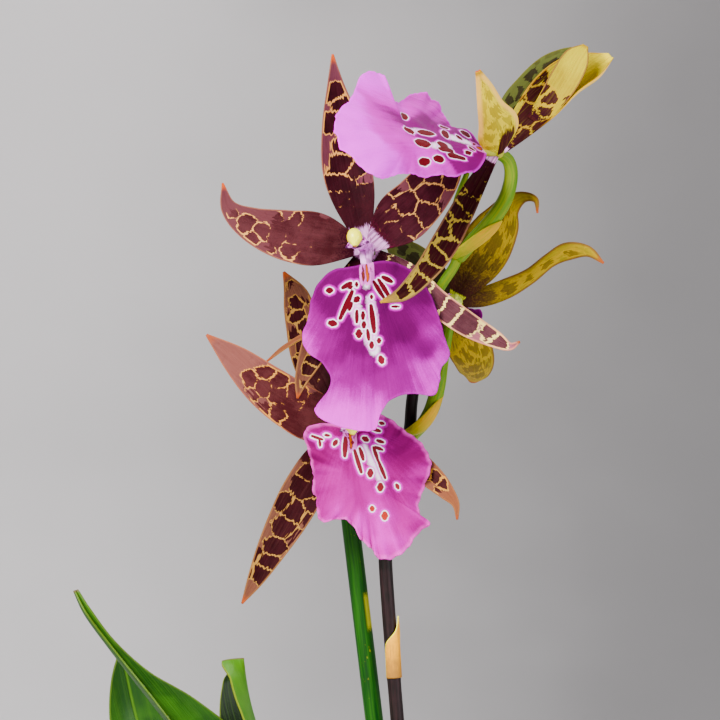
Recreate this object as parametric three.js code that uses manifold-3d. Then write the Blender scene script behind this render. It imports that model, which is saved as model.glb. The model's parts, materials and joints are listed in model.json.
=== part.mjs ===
// A potted brassia orchid in bloom: a plain pot of bark mix, three leafy shoots, and a staked flower
// spike with four blooms. Millimetres, +Z up, origin at the middle of the pot's underside, and the
// plant's best side faces -Y.
import * as THREE from 'three';
import { mergeVertices } from 'three/addons/utils/BufferGeometryUtils.js';
import Module from 'manifold-3d';

const wasm = await Module();
wasm.setup();

// Driving dimensions.
const potHeight = 110;
const potTopRadius = 58;
const potBaseRadius = 45;
const potWall = 2;
const potFloor = 3;
const potRimBand = 9;
const potRimProud = 3;
const drainHoles = 6;
const drainRadius = 4;
const drainCircle = 28;
const mixTop = 96;
const mixShoulder = 3;
const mixCrown = 2;
const chipCount = 30;
const seatGap = 0.3;
const cutClearance = 0.45;
const tepalThickness = 0.8;
const narrowestHalf = 0.6;
const lipThickness = 0.8;
const lipRings = 3;
const lipSectors = 34;
const clawRadii = [1.8, 1.7, 1.2];
const bractThickness = 0.8;
const leafThickness = 1.2;
const hubRadius = 3.2;
const columnLength = 11;
const columnRadii = [2.6, 2.5, 2.2, 1.8];
const columnArch = 0.8;
const capRadius = 2.9;
const columnRoom = 0.8;
const stakeRadius = 3.05;
const turns = 36;

const colours = {
  pot: [0x2b2c2e, 0.55],
  mix: [0x5a3d28, 0.95],
  stake: [0x1f7a3c, 0.5],
  leaf: [0x3f8f2f, 0.4],
  spike: [0x4a5a1e, 0.5],
  tepal: [0x5c1c26, 0.45],
  lip: [0xc04fb4, 0.5],
  column: [0xe9dcd8, 0.4],
};

// Small geometry tools.

function vector(point) {
  return new THREE.Vector3(...point);
}

// A smooth curve through a list of points.
function smooth(points) {
  return new THREE.CatmullRomCurve3(points.map(vector), false, 'catmullrom', 0.5);
}

// A smooth value along a list of numbers, for t from 0 to 1.
function along(values, t) {
  if (values.length === 1) return values[0];
  const line = values.map((v) => vector([v, 0, 0]));
  return new THREE.CatmullRomCurve3(line, false, 'catmullrom', 0.5).getPoint(t).x;
}

// A straight blend along a list of directions, for t from 0 to 1.
function direction(list, t) {
  if (list.length === 1) return vector(list[0]);
  const place = t * (list.length - 1);
  const step = Math.min(Math.floor(place), list.length - 2);
  return vector(list[step]).lerp(vector(list[step + 1]), place - step);
}

function geometryFrom(points, faces) {
  const geometry = new THREE.BufferGeometry();
  const places = points.flatMap((p) => [p.x, p.y, p.z]);
  geometry.setAttribute('position', new THREE.Float32BufferAttribute(places, 3));
  geometry.setIndex(faces.flat());
  return geometry;
}

function toSolid(geometry) {
  const bare = geometry.clone();
  bare.deleteAttribute('normal');
  bare.deleteAttribute('uv');
  const merged = mergeVertices(bare, 1e-4);
  return new wasm.Manifold(new wasm.Mesh({
    numProp: 3,
    vertProperties: new Float32Array(merged.attributes.position.array),
    triVerts: new Uint32Array(merged.index.array),
  }));
}

// Joins solids and keeps the largest body, so that no loose scrap is left.
function join(solids) {
  const whole = solids.reduce((sum, next) => sum.add(next));
  return largest(whole);
}

function largest(solid) {
  return solid.decompose().reduce((best, next) => (next.volume() > best.volume() ? next : best));
}

function toGeometry(solid) {
  const mesh = solid.getMesh();
  const geometry = new THREE.BufferGeometry();
  geometry.setAttribute('position', new THREE.BufferAttribute(new Float32Array(mesh.vertProperties), 3));
  geometry.setIndex(new THREE.BufferAttribute(new Uint32Array(mesh.triVerts), 1));
  geometry.computeVertexNormals();
  return geometry;
}

// Closes a thin sheet: its points pushed out both ways along their normals, and a rim between.
// The two faces share one set of triangles, so a waved sheet never crosses itself.
function thicken(points, triangles, rim, thickness) {
  const normals = points.map(() => new THREE.Vector3());
  for (const [a, b, c] of triangles) {
    const turn = points[b].clone().sub(points[a]).cross(points[c].clone().sub(points[a]));
    for (const corner of [a, b, c]) normals[corner].add(turn);
  }
  const half = thickness / 2;
  const push = (side) => points.map((p, i) => p.clone().addScaledVector(normals[i].normalize(), side * half));
  const count = points.length;
  const faces = [...triangles, ...triangles.map(([a, b, c]) => [count + a, count + c, count + b])];
  for (let i = 0; i < rim.length; i += 1) {
    const here = rim[i];
    const next = rim[(i + 1) % rim.length];
    faces.push([here, count + next, next], [here, count + here, count + next]);
  }
  return geometryFrom([...push(1), ...push(-1)], faces);
}

// A tepal, bract or leaf: a blade on a curved midrib. width holds half widths from root to tip,
// face says where its upper side looks, keel folds it along the midrib and roll curls its margins.
function blade({
  path, width, face, keel = [0], roll = [0.4], rollFar = roll, thickness, steps = 7, across = 2,
}) {
  const curve = smooth(path);
  const points = [];
  const row = 2 * across + 1;
  for (let i = 0; i <= steps; i += 1) {
    const t = i / steps;
    const middle = curve.getPoint(t);
    const tangent = curve.getTangent(t);
    const side = tangent.clone().cross(direction(face, t)).normalize();
    const up = side.clone().cross(tangent).normalize();
    const half = Math.max(along(width, t), narrowestHalf);
    const fold = along(keel, t);
    for (let j = -across; j <= across; j += 1) {
      const reach = Math.abs(j) / across;
      const curl = Math.max(along(j < 0 ? roll : rollFar, t), 0.01);
      const out = half * (Math.sin(fold + curl * reach) - Math.sin(fold)) / curl;
      const lift = half * (Math.cos(fold) - Math.cos(fold + curl * reach)) / curl;
      points.push(middle.clone().addScaledVector(side, Math.sign(j) * out).addScaledVector(up, lift));
    }
  }
  const triangles = [];
  for (let i = 0; i < steps; i += 1) {
    for (let j = 0; j < row - 1; j += 1) {
      const a = i * row + j;
      triangles.push([a, a + row, a + row + 1], [a, a + row + 1, a + 1]);
    }
  }
  const rim = [];
  for (let j = 0; j < row; j += 1) rim.push(j);
  for (let i = 1; i <= steps; i += 1) rim.push(i * row + row - 1);
  for (let j = row - 2; j >= 0; j -= 1) rim.push(steps * row + j);
  for (let i = steps - 1; i > 0; i -= 1) rim.push(i * row);
  return toSolid(thicken(points, triangles, rim.reverse(), thickness));
}

// A lip: a sheet that spreads from its middle to a waved outline, lifting with the square of its
// reach. Outline points are right, down and lift towards the lip's face, all from its root.
function lipSheet({ root, down, face, middle, outline }) {
  const downward = vector(down).normalize();
  const outward = vector(face);
  outward.addScaledVector(downward, -outward.dot(downward)).normalize();
  const right = outward.clone().cross(downward);
  const edge = new THREE.CatmullRomCurve3(outline.map(vector), true, 'catmullrom', 0.5);
  const centre = vector(middle);
  const place = (x, y, z) => vector(root).addScaledVector(right, x).addScaledVector(downward, y)
    .addScaledVector(outward, z);
  const points = [place(...middle)];
  for (let ring = 1; ring <= lipRings; ring += 1) {
    const reach = ring / lipRings;
    for (let k = 0; k < lipSectors; k += 1) {
      const rimPoint = edge.getPoint(k / lipSectors);
      const x = centre.x + (rimPoint.x - centre.x) * reach;
      const y = centre.y + (rimPoint.y - centre.y) * reach;
      points.push(place(x, y, centre.z + (rimPoint.z - centre.z) * reach ** 2));
    }
  }
  const triangles = [];
  for (let k = 0; k < lipSectors; k += 1) {
    const next = (k + 1) % lipSectors;
    triangles.push([0, 1 + k, 1 + next]);
    for (let ring = 1; ring < lipRings; ring += 1) {
      const inner = 1 + (ring - 1) * lipSectors;
      const outer = inner + lipSectors;
      triangles.push([inner + k, outer + k, outer + next], [inner + k, outer + next, inner + next]);
    }
  }
  const rim = [];
  for (let k = 0; k < lipSectors; k += 1) rim.push(1 + (lipRings - 1) * lipSectors + k);
  return toSolid(thicken(points, triangles, rim, lipThickness));
}

// A round stalk on a curved path, tapering through a list of radii, closed at both ends.
function stalk(path, radii, steps = 12, sides = 8) {
  const curve = smooth(path);
  const points = [curve.getPoint(0)];
  const sideways = new THREE.Vector3(0, 1, 0);
  for (let i = 0; i <= steps; i += 1) {
    const t = i / steps;
    const tangent = curve.getTangent(t);
    const a = tangent.clone().cross(sideways).normalize();
    const b = tangent.clone().cross(a);
    const radius = along(radii, t);
    for (let k = 0; k < sides; k += 1) {
      const turn = 2 * Math.PI * k / sides;
      const point = curve.getPoint(t).addScaledVector(a, radius * Math.cos(turn));
      points.push(point.addScaledVector(b, radius * Math.sin(turn)));
    }
  }
  points.push(curve.getPoint(1));
  const faces = [];
  const last = points.length - 1;
  for (let k = 0; k < sides; k += 1) {
    const next = (k + 1) % sides;
    faces.push([0, 1 + next, 1 + k], [last, last - sides + k, last - sides + next]);
    for (let i = 0; i < steps; i += 1) {
      const low = 1 + i * sides;
      const high = low + sides;
      faces.push([low + k, high + next, high + k], [low + k, low + next, high + next]);
    }
  }
  return toSolid(geometryFrom(points, faces));
}

function ball(centre, radius) {
  const geometry = new THREE.SphereGeometry(radius, 8, 6);
  geometry.translate(...centre);
  return toSolid(geometry);
}

// An upright cylinder from one height to another.
function post(x, y, low, high, radius, sides = 24) {
  const geometry = new THREE.CylinderGeometry(radius, radius, high - low, sides);
  geometry.rotateX(Math.PI / 2);
  geometry.translate(x, y, (low + high) / 2);
  return toSolid(geometry);
}

// The same random numbers each run.
function seeded(seed) {
  let state = seed;
  return () => {
    state = (state * 1664525 + 1013904223) % 4294967296;
    return state / 4294967296;
  };
}

// Blooms. Every point is an offset from the bloom's centre: right, back, up.
const towards = [0, -1, 0];

const blooms = {
  bloom_a: {
    centre: [32, 1, 526],
    tepals: {
      nearSepal: {
        path: [[-1, -2, -1.5], [-7.5, -9, -12.5], [-12.5, -16, -22], [-18, -22, -32], [-24, -28, -40.5],
          [-31, -32, -47.5], [-38.5, -35, -50.5]],
        width: [1.8, 3.4, 4.2, 4.6, 3.8, 2.6, 0.6],
        face: [towards],
      },
      nearPetal: {
        path: [[0.3, -2, -1.5], [0.5, -9, 2.1], [0.6, -16, 6.5], [-2.35, -24, 11.8], [-4.7, -30, 17.8],
          [-7.3, -36, 23.3]],
        width: [2, 6.6, 7.2, 4.8, 3, 0.9],
        face: [[-0.3, 0.6, 0.7]],
        roll: [0.6],
      },
      farPetal: {
        path: [[1, 2, 1.5], [5.8, 11, 13.6], [11.9, 16, 22], [17.8, 21, 29], [23.3, 25, 33.6],
          [29.5, 29, 37.2]],
        width: [2, 5.4, 5.4, 4.4, 2.6, 0.6],
        face: [[-0.3, 0.9, 0.3]],
        roll: [0.5],
      },
      dorsal: {
        path: [[1.5, 0, 0.5], [9.7, 0, 9.3], [16.6, 1, 15.8], [23.6, 2, 21.8], [31.4, 5, 26.6],
          [38.5, 7, 31.8]],
        width: [2, 5.8, 8.4, 9, 7.6, 1.5],
        face: [[-0.1, -1, 0.2]],
        roll: [0.6],
        rollFar: [0.6, 1.2, 1.8, 1.8],
        across: 3,
      },
      dorsalFold: {
        path: [[12.5, -0.5, 9.5], [18.5, -2.2, 17], [23, -2.6, 24], [26.5, -1.6, 30.5], [29.5, 0, 34.8]],
        width: [3, 4.6, 5.2, 4.4, 1],
        face: [[-0.1, -1, 0.2]],
        roll: [0.5],
      },
      farSepal: {
        path: [[-1, 2, -0.5], [-9, 14, 0], [-17, 24, 1], [-26, 32, 2.5], [-34, 39, 4.5]],
        width: [1.8, 4.2, 4.4, 3, 0.6],
        face: [[0, -0.8, 0.6]],
      },
    },
    column: { aim: [-0.27, 0.12, 0.95] },
    lip: {
      root: [-3.5, -5, -0.5],
      down: [-0.8, -0.56, 0.16],
      face: [0.1, -0.6, 0.8],
      middle: [13, 40, 4],
      outline: [[-1, -0.5, 0], [15.5, 11.5, 1], [21, 20.5, 0], [24, 30, -1], [26, 39.5, -2], [27.5, 46, -1],
        [31.5, 53.5, -2], [34, 60.5, -2], [30, 67, 0], [24, 70.5, 1], [18.5, 70.5, 2], [13, 69, 3],
        [5.5, 64.5, 4], [-0.5, 58.5, 5], [-10, 51.5, 5], [-21, 44, 6], [-27, 35, 6], [-24, 32, 5],
        [-15.5, 31.5, 2], [-21, 24.5, 1], [-30.5, 15, 0], [-33, 8.5, 0], [-29, 6, 0], [-21, 7.5, 0],
        [-12.5, 9.5, 1], [-9, 3, 1]],
    },
  },
  bloom_b: {
    centre: [-11, 2, 493.5],
    tepals: {
      dorsal: {
        path: [[-0.5, -0.5, 1], [-4, 1, 16.5], [-6.5, 3, 28], [-8.5, 2, 43], [-10, -2, 54], [-11, -6, 64]],
        width: [2, 7.2, 8.3, 6.2, 3, 0.6],
        face: [towards],
      },
      leftPetal: {
        path: [[-1.5, -0.5, 0.5], [-15, -5, 3], [-26.5, -7.5, 4.5], [-37.5, -7, 8], [-45, -3, 13.5],
          [-47.5, 2, 22]],
        width: [2.2, 8.6, 8.4, 5.8, 2.9, 0.6],
        face: [towards],
        roll: [0.3],
      },
      rightPetal: {
        path: [[1.5, 0, 1], [10, -3, 9], [17.5, -3, 16], [24.5, 0, 25], [29, 5, 33], [32, 10, 39.5]],
        width: [2.2, 8.6, 8.6, 7, 3.6, 0.6],
        face: [towards],
        roll: [0.3],
      },
      rightSepal: {
        path: [[1, 0.5, -0.5], [13, 2, -8.5], [23.5, 0, -17.5], [33, -4, -24.5], [42, -7, -29.5],
          [47, -8, -32], [50.5, -6, -30.5]],
        width: [1.8, 4.6, 4.4, 4.2, 3, 1.4, 0.6],
        face: [towards],
      },
      leftSepal: {
        path: [[-1, 0.5, -1], [-7.5, 1, -13.5], [-13.5, -0.5, -24], [-17.5, -2, -34], [-21, -5, -42.5],
          [-22.5, -9, -49]],
        width: [1.8, 4.8, 5.2, 4.6, 2.6, 0.6],
        face: [towards],
        roll: [0.5],
      },
    },
    column: { aim: [-0.33, -0.9, 0.27] },
    lip: {
      root: [0, -7, -4.5],
      down: [0, 0, -1],
      face: towards,
      middle: [2.5, 24, 6],
      outline: [[0, 0.5, 2], [-5.5, 1.5, 3], [-11, 2.5, 2], [-15.5, 6.5, 0], [-18, 12, -3], [-19, 18, -3],
        [-21, 24, -4], [-19.5, 29, -3], [-14, 33.5, 3], [-11.5, 38.5, 7], [-13.5, 44, 9], [-17.5, 48, 8],
        [-14, 51.5, 10], [-7.5, 54, 12], [-1.5, 55, 13], [3, 54.5, 12], [4.5, 50, 11], [8, 45, 10],
        [14.5, 43, 8], [22, 43.5, 4], [24, 39, 3], [24.5, 35, 1], [27.5, 30.5, -4], [26, 25, -3],
        [24, 18, -3.5], [21.5, 11, -4], [17, 4, -3], [11, 0.5, 0], [5.5, -0.5, 2]],
    },
  },
  bloom_c: {
    centre: [-17, 9, 434.5],
    tepals: {
      leftPetal: {
        path: [[-1, -0.5, 0.5], [-10, -2, 3], [-18, -4, 7.3], [-27.6, -6, 14.2], [-37.2, -9, 22.8],
          [-46.5, -12, 30.8]],
        width: [2.2, 8, 8.4, 7.4, 4.8, 0.6],
        face: [towards],
        roll: [0.3],
      },
      dorsal: {
        path: [[-0.5, 0.5, 1], [-6.5, 5.5, 13], [-12, 9, 24], [-15.5, 10, 35], [-17.5, 9, 44],
          [-21.5, 6, 52]],
        width: [2.2, 7, 7.2, 5.6, 4.4, 0.6],
        face: [towards],
        roll: [0.3],
      },
      rightPetal: {
        path: [[0.5, 0.5, 1], [6, 1, 12.5], [5, 2, 22], [-2.5, 1, 28.5], [-12, -0.5, 30.5], [-20, -1, 27],
          [-27, -3, 22]],
        width: [2.2, 6.6, 6.2, 5, 3.6, 2.2, 0.6],
        face: [[0, -1, 0], [0, -1, 0.3], [0, -0.5, 0.9], [0, -0.2, 1], [0, -0.2, 1]],
        roll: [0.5],
      },
      leftSepal: {
        path: [[-0.5, 0, -1], [-8, -2, -10], [-14.5, -5, -20.5], [-20, -7, -30.5], [-25.5, -9, -40.5],
          [-30.5, -9, -50], [-35, -7, -58]],
        width: [2, 6, 7.1, 6.5, 4.9, 2.8, 0.6],
        face: [towards],
        roll: [0.3],
      },
      rightSepal: {
        path: [[1, 0, -0.5], [12, 0, -5], [20.5, -1, -10.5], [28, -4, -16.5], [32.5, -8, -21],
          [35.5, -11, -25], [36, -12, -30]],
        width: [2, 4.8, 4.8, 4, 2.8, 1.3, 0.6],
        face: [towards],
      },
    },
    column: { aim: [0.12, -0.9, -0.2] },
    lip: {
      root: [0.5, -7, -0.5],
      down: [0, -0.05, -1],
      face: [0, -1, 0.05],
      middle: [5, 16.5, 5],
      outline: [[0, -0.5, 2], [-6.5, -2, 2], [-13.5, -1, 0], [-15, 2.5, -1], [-13.5, 7.5, -2],
        [-12.5, 13, -3], [-12, 20, -3], [-11, 27, -2], [-9, 30.5, 0], [-3.5, 29.5, 3], [0.5, 31, 5],
        [4, 36.5, 6], [7.5, 39.5, 5], [9.5, 42.5, 6], [14, 42.5, 6], [19, 39.5, 5], [22, 35, 3],
        [26.5, 31, 4], [23.5, 28.5, 2], [23, 24, 0], [25, 18.5, -2], [27, 12, -2], [26, 7.5, -2],
        [23, 3.5, -2], [18.5, 0.5, -1], [15, -2.5, 0], [10, -5, 1], [5, -3.5, 2]],
    },
  },
  bloom_d: {
    centre: [18.5, 22, 476.5],
    tepals: {
      upperPetal: {
        path: [[0.5, 0, 1], [5, -2, 9.5], [10, -4, 17.5], [15, -4, 26], [18.5, -3, 32], [23, -5, 35],
          [27, -10, 34], [27.5, -14, 29.5]],
        width: [2, 7.4, 9, 7.4, 4.2, 2, 1, 0.6],
        face: [[0.1, 1, 0.1]],
      },
      rightSepal: {
        path: [[1, 0, 0], [9.5, 2, 1.5], [18, 4, 4.5], [26, 5, 8.8], [32.5, 4, 14], [38.5, 2, 17],
          [45, -2, 17], [50, -6, 13]],
        width: [1.8, 3.4, 3.6, 2.8, 2.6, 3.2, 1.9, 0.6],
        face: [[0, 1, 0.2]],
        roll: [0.5],
      },
      lowerPetal: {
        path: [[0.5, 0, -1], [2.5, 3, -7.5], [5, 8, -14], [7.5, 16, -20.5], [8.3, 28, -25], [7.8, 38, -27.3]],
        width: [2, 6.4, 7.8, 7.4, 5.6, 1.5],
        face: [[0, 0.9, 0.3]],
        roll: [0.5],
      },
      dorsal: {
        path: [[-0.5, 0.5, 0.5], [-7, 4, 8], [-13, 6, 13.5], [-18, 6, 17.5], [-23.5, 5, 21.5]],
        width: [2, 5.6, 6, 4.4, 0.6],
        face: [[0, 1, 0.2]],
      },
      leftSepal: {
        path: [[-0.5, 0.5, -0.5], [-7, 5, -6.5], [-13, 10, -12.5], [-17, 14, -18.5], [-20.5, 16, -23.5]],
        width: [2, 5.6, 6, 4.4, 0.6],
        face: [[0, 1, 0]],
      },
    },
    column: { aim: [-0.2, 0.9, 0.3] },
    lip: {
      root: [-0.5, 6, -1],
      down: [-0.45, 0.85, -0.4],
      face: [-0.2, 0.5, 0.8],
      middle: [0, 26, 4],
      outline: [[0, 0, 0], [8, 2, 0], [16, 6, -1], [21, 12, -2], [22, 20, -3], [20, 30, -2], [17, 37, 0],
        [16, 43, 2], [19, 50, 3], [13, 56, 2], [0, 58, 2], [-10, 57, 2], [-15, 51, 4], [-13, 43, 2],
        [-15, 36, 0], [-18, 27, -2], [-18, 18, -2], [-16, 9, -1], [-12, 2, 0], [-5, 0.5, 0]],
    },
  },
};

// The flower stem from the mix to its tip, and each bloom's own stalk.
const stemPath = [[21, 18, 86], [10.5, 18, 215.5], [2, 18, 309.5], [-0.5, 18, 336.5], [-4.5, 18, 390],
  [-3.5, 18, 410], [3, 20, 430], [4.5, 20, 443.5], [7, 20, 460.5], [12.5, 15, 478.5], [19.5, 12, 491],
  [18.5, 14, 502], [19.5, 15, 510.5], [23, 14, 520]];
const stemRadii = [2.8, 2.6, 2.4, 2.3, 2.3, 2.3, 2.1, 2, 1.9, 1.7, 1.7, 1.5, 1.2, 0.9];

const bloomStalks = {
  bloom_a: {
    path: [[19.5, 12, 490], [24, 8, 496], [30, 5, 502.5], [35, 4, 510], [37, 4, 517.5], [36, 3, 523],
      [32, 1, 526]],
    radii: [1.8, 2.4, 2.6, 2.5, 2.3, 2.2, 2.2],
  },
  bloom_b: {
    path: [[8, 19, 465], [4.5, 19, 475.5], [-1, 16, 484], [-5.5, 9, 489.5], [-11, 2, 493.5]],
    radii: [1.6, 1.9, 2, 1.9, 2.2],
  },
  bloom_c: {
    path: [[-3.5, 18, 406], [-7.5, 22, 414.5], [-12.5, 20, 423.5], [-15.5, 14, 431], [-17, 9, 434.5]],
    radii: [1.8, 2, 2, 2, 2.2],
  },
  bloom_d: {
    path: [[3.5, 20, 430], [10, 16, 438.5], [13, 15, 447.5], [15, 16, 458.5], [17, 18, 468.5],
      [18.5, 22, 476.5]],
    radii: [1.8, 2.4, 2.4, 1.9, 1.6, 2],
  },
};

const bracts = {
  underBloomD: {
    path: [[2, 18.5, 431], [6, 13.5, 432.5], [9.5, 12, 435.5], [12.5, 12, 440], [15, 15, 445.5]],
    width: [3, 3.8, 3.6, 2.6, 0.6],
    face: [[-0.5, 0.7, 0.6]],
    roll: [1.1],
  },
  underBloomA: {
    path: [[19, 10.5, 490.5], [23, 6, 493], [27.5, 3, 496.5], [31.5, 2.5, 500], [34, 3, 503]],
    width: [3, 3.6, 3.4, 2.4, 0.6],
    face: [[-0.5, 0.7, 0.5]],
    roll: [1.1],
  },
  underBloomB: {
    path: [[8.5, 18, 464], [10.5, 22, 469], [9.5, 24, 474], [7.5, 24, 479]],
    width: [2.4, 2.8, 2.2, 0.6],
    face: [[-0.3, -0.9, 0]],
    roll: [1],
  },
  underBloomC: {
    path: [[-4, 18, 404.5], [-8, 20.5, 408], [-11.5, 21.5, 413], [-13.5, 20, 418]],
    width: [2.6, 2.8, 2.2, 0.6],
    face: [[0.6, 0, 0.8]],
    roll: [1],
  },
  drySheath: {
    path: [[0.9, 17.6, 350.6], [0.6, 17.6, 356], [0.3, 17.5, 361.5], [0.15, 17.3, 366.5],
      [-0.2, 17.2, 371.2]],
    width: [5.4, 5.4, 5, 2.4, 0.6],
    face: [[-1, 0.15, 0]],
    roll: [2.1, 2.1, 2, 1, 0.4],
  },
  lowSheath: {
    path: [[9, 16, 232], [8, 15.5, 243], [7.5, 15.5, 254], [7, 15.5, 264]],
    width: [4.8, 4.6, 3, 0.6],
    face: [[-0.1, 1, 0]],
    roll: [1.5],
  },
};

// Shoots: a flattened bulb standing in the mix, with leaves from its top and sheathing its foot.
const shoots = {
  shoot_a: {
    bulb: { foot: [-1, 6, 88], top: [-8, 4, 182], wide: 17, deep: 10 },
    leaves: [
      { path: [[-8, 3, 172], [-15, -6, 215], [-26, -11, 255], [-38, -12, 289], [-57.5, -12, 316.5],
        [-75, -10, 337.5], [-86.3, -8, 351.5], [-95.8, -6, 363.3], [-103.2, -4, 373.2], [-107, -2, 380.8]],
      width: [5, 10, 14, 17, 17, 12.5, 5.8, 3.1, 2.8, 1.5],
      face: [[-0.4, -0.8, 0.5], [0.3, -0.7, 0.45], [0.6, -0.65, 0.4], [0.6, -0.7, 0.4], [0.6, -0.7, 0.37],
        [0.5, -0.8, 0.3]],
      keel: [1.1, 0.6, 0.5, 0.6, 0.75, 0.8, 0.9, 1.0, 1.0, 1.0],
      roll: [0.3] },
      { path: [[-6, 0, 176], [-14, -10, 220], [-26.5, -12, 261], [-37.5, -10, 297], [-42.5, -8, 324.5],
        [-47, -6, 342], [-49, -4, 352.5], [-49.4, -2, 358.8]],
      width: [5, 9, 13, 14.5, 14.5, 11, 8, 7],
      face: [[0.3, -0.9, 0], [0, -1, 0], [-0.4, -0.9, 0], [-0.6, -0.75, 0], [-0.7, -0.7, 0],
        [-0.88, -0.45, 0], [-1, 0.1, 0], [-0.7, 0.7, 0]],
      keel: [1.1, 0.6, 0.55, 0.65, 0.75, 0.8, 0.8, 0.8],
      roll: [0.3] },
      { path: [[-15, 4, 112], [-23, -3, 148], [-38, -16, 186], [-60, -32, 218], [-88, -48, 228],
        [-112, -60, 218]],
        width: [7, 9.5, 11, 10, 6.5, 0.8],
        face: [[0.9, 0.2, 0.2], [0.7, 0.4, 0.5], [0.3, 0.2, 1]],
        keel: [1.1, 0.6, 0.35, 0.3] },
    ],
  },
  shoot_b: {
    bulb: { foot: [-28, 21, 88], top: [-36, 27, 170], wide: 15, deep: 9 },
    leaves: [
      { path: [[-36, 26, 162], [-46, 32, 208], [-59, 38, 252], [-74.5, 42, 289], [-84.5, 44, 316.5],
        [-90, 44, 335], [-93, 42, 349], [-95, 40, 358]],
      width: [5, 10, 13, 15, 13.5, 11, 6.5, 0.8],
      face: [[0.3, -0.9, 0.2], [0.1, -1, 0.1]],
      keel: [1, 0.5, 0.3, 0.3] },
      { path: [[-36, 29, 162], [-53, 46, 206], [-78, 66, 246], [-110, 86, 266], [-142, 100, 258],
        [-164, 108, 234]],
        width: [5, 11, 14, 13, 8.5, 0.8],
        face: [[-0.2, -0.4, 0.9], [0.1, -0.2, 1]],
        keel: [1, 0.45, 0.3, 0.25] },
      { path: [[-40, 27, 112], [-50, 40, 146], [-62, 62, 184], [-66, 86, 214], [-66, 112, 222]],
        width: [6, 9, 10, 7.5, 0.8],
        face: [[0.5, -0.8, 0.3], [0.2, -0.4, 0.9]],
        keel: [1, 0.5, 0.3] },
    ],
  },
  shoot_c: {
    bulb: { foot: [27, -16, 88], top: [33, -20, 158], wide: 14, deep: 9 },
    leaves: [
      { path: [[33, -19, 150], [46, -24, 198], [68, -30, 244], [100, -35, 274], [134, -36, 274],
        [162, -34, 246]],
        width: [5, 11, 14, 13.5, 9, 0.8],
        face: [[-0.4, -0.2, 0.9], [0.1, 0, 1]],
        keel: [1, 0.45, 0.3, 0.25] },
      { path: [[32, -22, 150], [35, -42, 196], [42, -72, 236], [52, -106, 252], [62, -136, 240],
        [70, -156, 214]],
        width: [5, 10.5, 13.5, 12.5, 8, 0.8],
        face: [[0, 0.5, 0.9], [0, 0.1, 1]],
        keel: [1, 0.45, 0.3, 0.25] },
      { path: [[34, -17, 152], [40, 4, 200], [50, 36, 244], [62, 72, 262], [72, 106, 252], [80, 132, 226]],
        width: [5, 10.5, 13, 12, 8, 0.8],
        face: [[-0.2, -0.5, 0.9], [0, -0.1, 1]],
        keel: [1, 0.45, 0.3, 0.25] },
      { path: [[39, -16, 112], [49, -13, 144], [66, -8, 178], [92, -4, 200], [118, -2, 198]],
        width: [6, 9, 10, 7, 0.8],
        face: [[-0.9, 0, 0.3], [-0.3, 0, 1]],
        keel: [1, 0.5, 0.3] },
    ],
  },
};

const stakePath = [[22, 26, 85], [-15.5, 26, 396], [-18, 26, 417]];

// Pot and mix.

// The pot's inner radius at a height above its floor.
function potInside(height) {
  return THREE.MathUtils.lerp(potBaseRadius, potTopRadius, height / potHeight) - potWall;
}

function buildPot() {
  const bandLow = potHeight - potRimBand;
  const bandRadius = THREE.MathUtils.lerp(potBaseRadius, potTopRadius, bandLow / potHeight);
  const profile = [[0, 0], [potBaseRadius - 1.5, 0], [potBaseRadius, 1.5], [bandRadius, bandLow],
    [bandRadius + potRimProud, bandLow + 1], [potTopRadius + potRimProud, potHeight - 1],
    [potTopRadius + potRimProud - 1, potHeight], [potTopRadius - potWall + 0.5, potHeight],
    [potInside(potHeight - 1), potHeight - 1], [potInside(potFloor), potFloor], [0, potFloor]];
  const wall = new THREE.LatheGeometry(profile.map(([r, z]) => new THREE.Vector2(r, z)), turns);
  wall.rotateX(Math.PI / 2);
  let pot = toSolid(wall);
  for (let i = 0; i < drainHoles; i += 1) {
    const turn = 2 * Math.PI * (i + 0.5) / drainHoles;
    const x = drainCircle * Math.cos(turn);
    const y = drainCircle * Math.sin(turn);
    pot = pot.subtract(post(x, y, -1, potFloor + 1, drainRadius, 12));
  }
  return pot;
}

// One chip of bark: a squashed block with uneven corners.
function barkChip(random) {
  const geometry = new THREE.IcosahedronGeometry(1, 0);
  const position = geometry.attributes.position;
  const bumps = new Map();
  for (let i = 0; i < position.count; i += 1) {
    const key = [position.getX(i), position.getY(i), position.getZ(i)].map((v) => v.toFixed(3)).join();
    if (!bumps.has(key)) bumps.set(key, 0.75 + 0.5 * random());
    const bump = bumps.get(key);
    position.setXYZ(i, position.getX(i) * bump, position.getY(i) * bump, position.getZ(i) * bump);
  }
  geometry.scale(7 + 3 * random(), 5.5 + 2 * random(), 3.5 + 1.5 * random());
  geometry.rotateX((random() - 0.5) * 1.2);
  geometry.rotateY((random() - 0.5) * 1.2);
  geometry.rotateZ(random() * Math.PI * 2);
  return geometry;
}

// A plain hole round the foot of a stem, a little wider and deeper than the stem itself.
function stemHole([foot, next], radius) {
  const lower = vector(foot).addScaledVector(vector(next).sub(vector(foot)).normalize(), -2 * seatGap);
  return stalk([lower.toArray(), next], [radius + seatGap, radius + seatGap], 1, 12);
}

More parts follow.
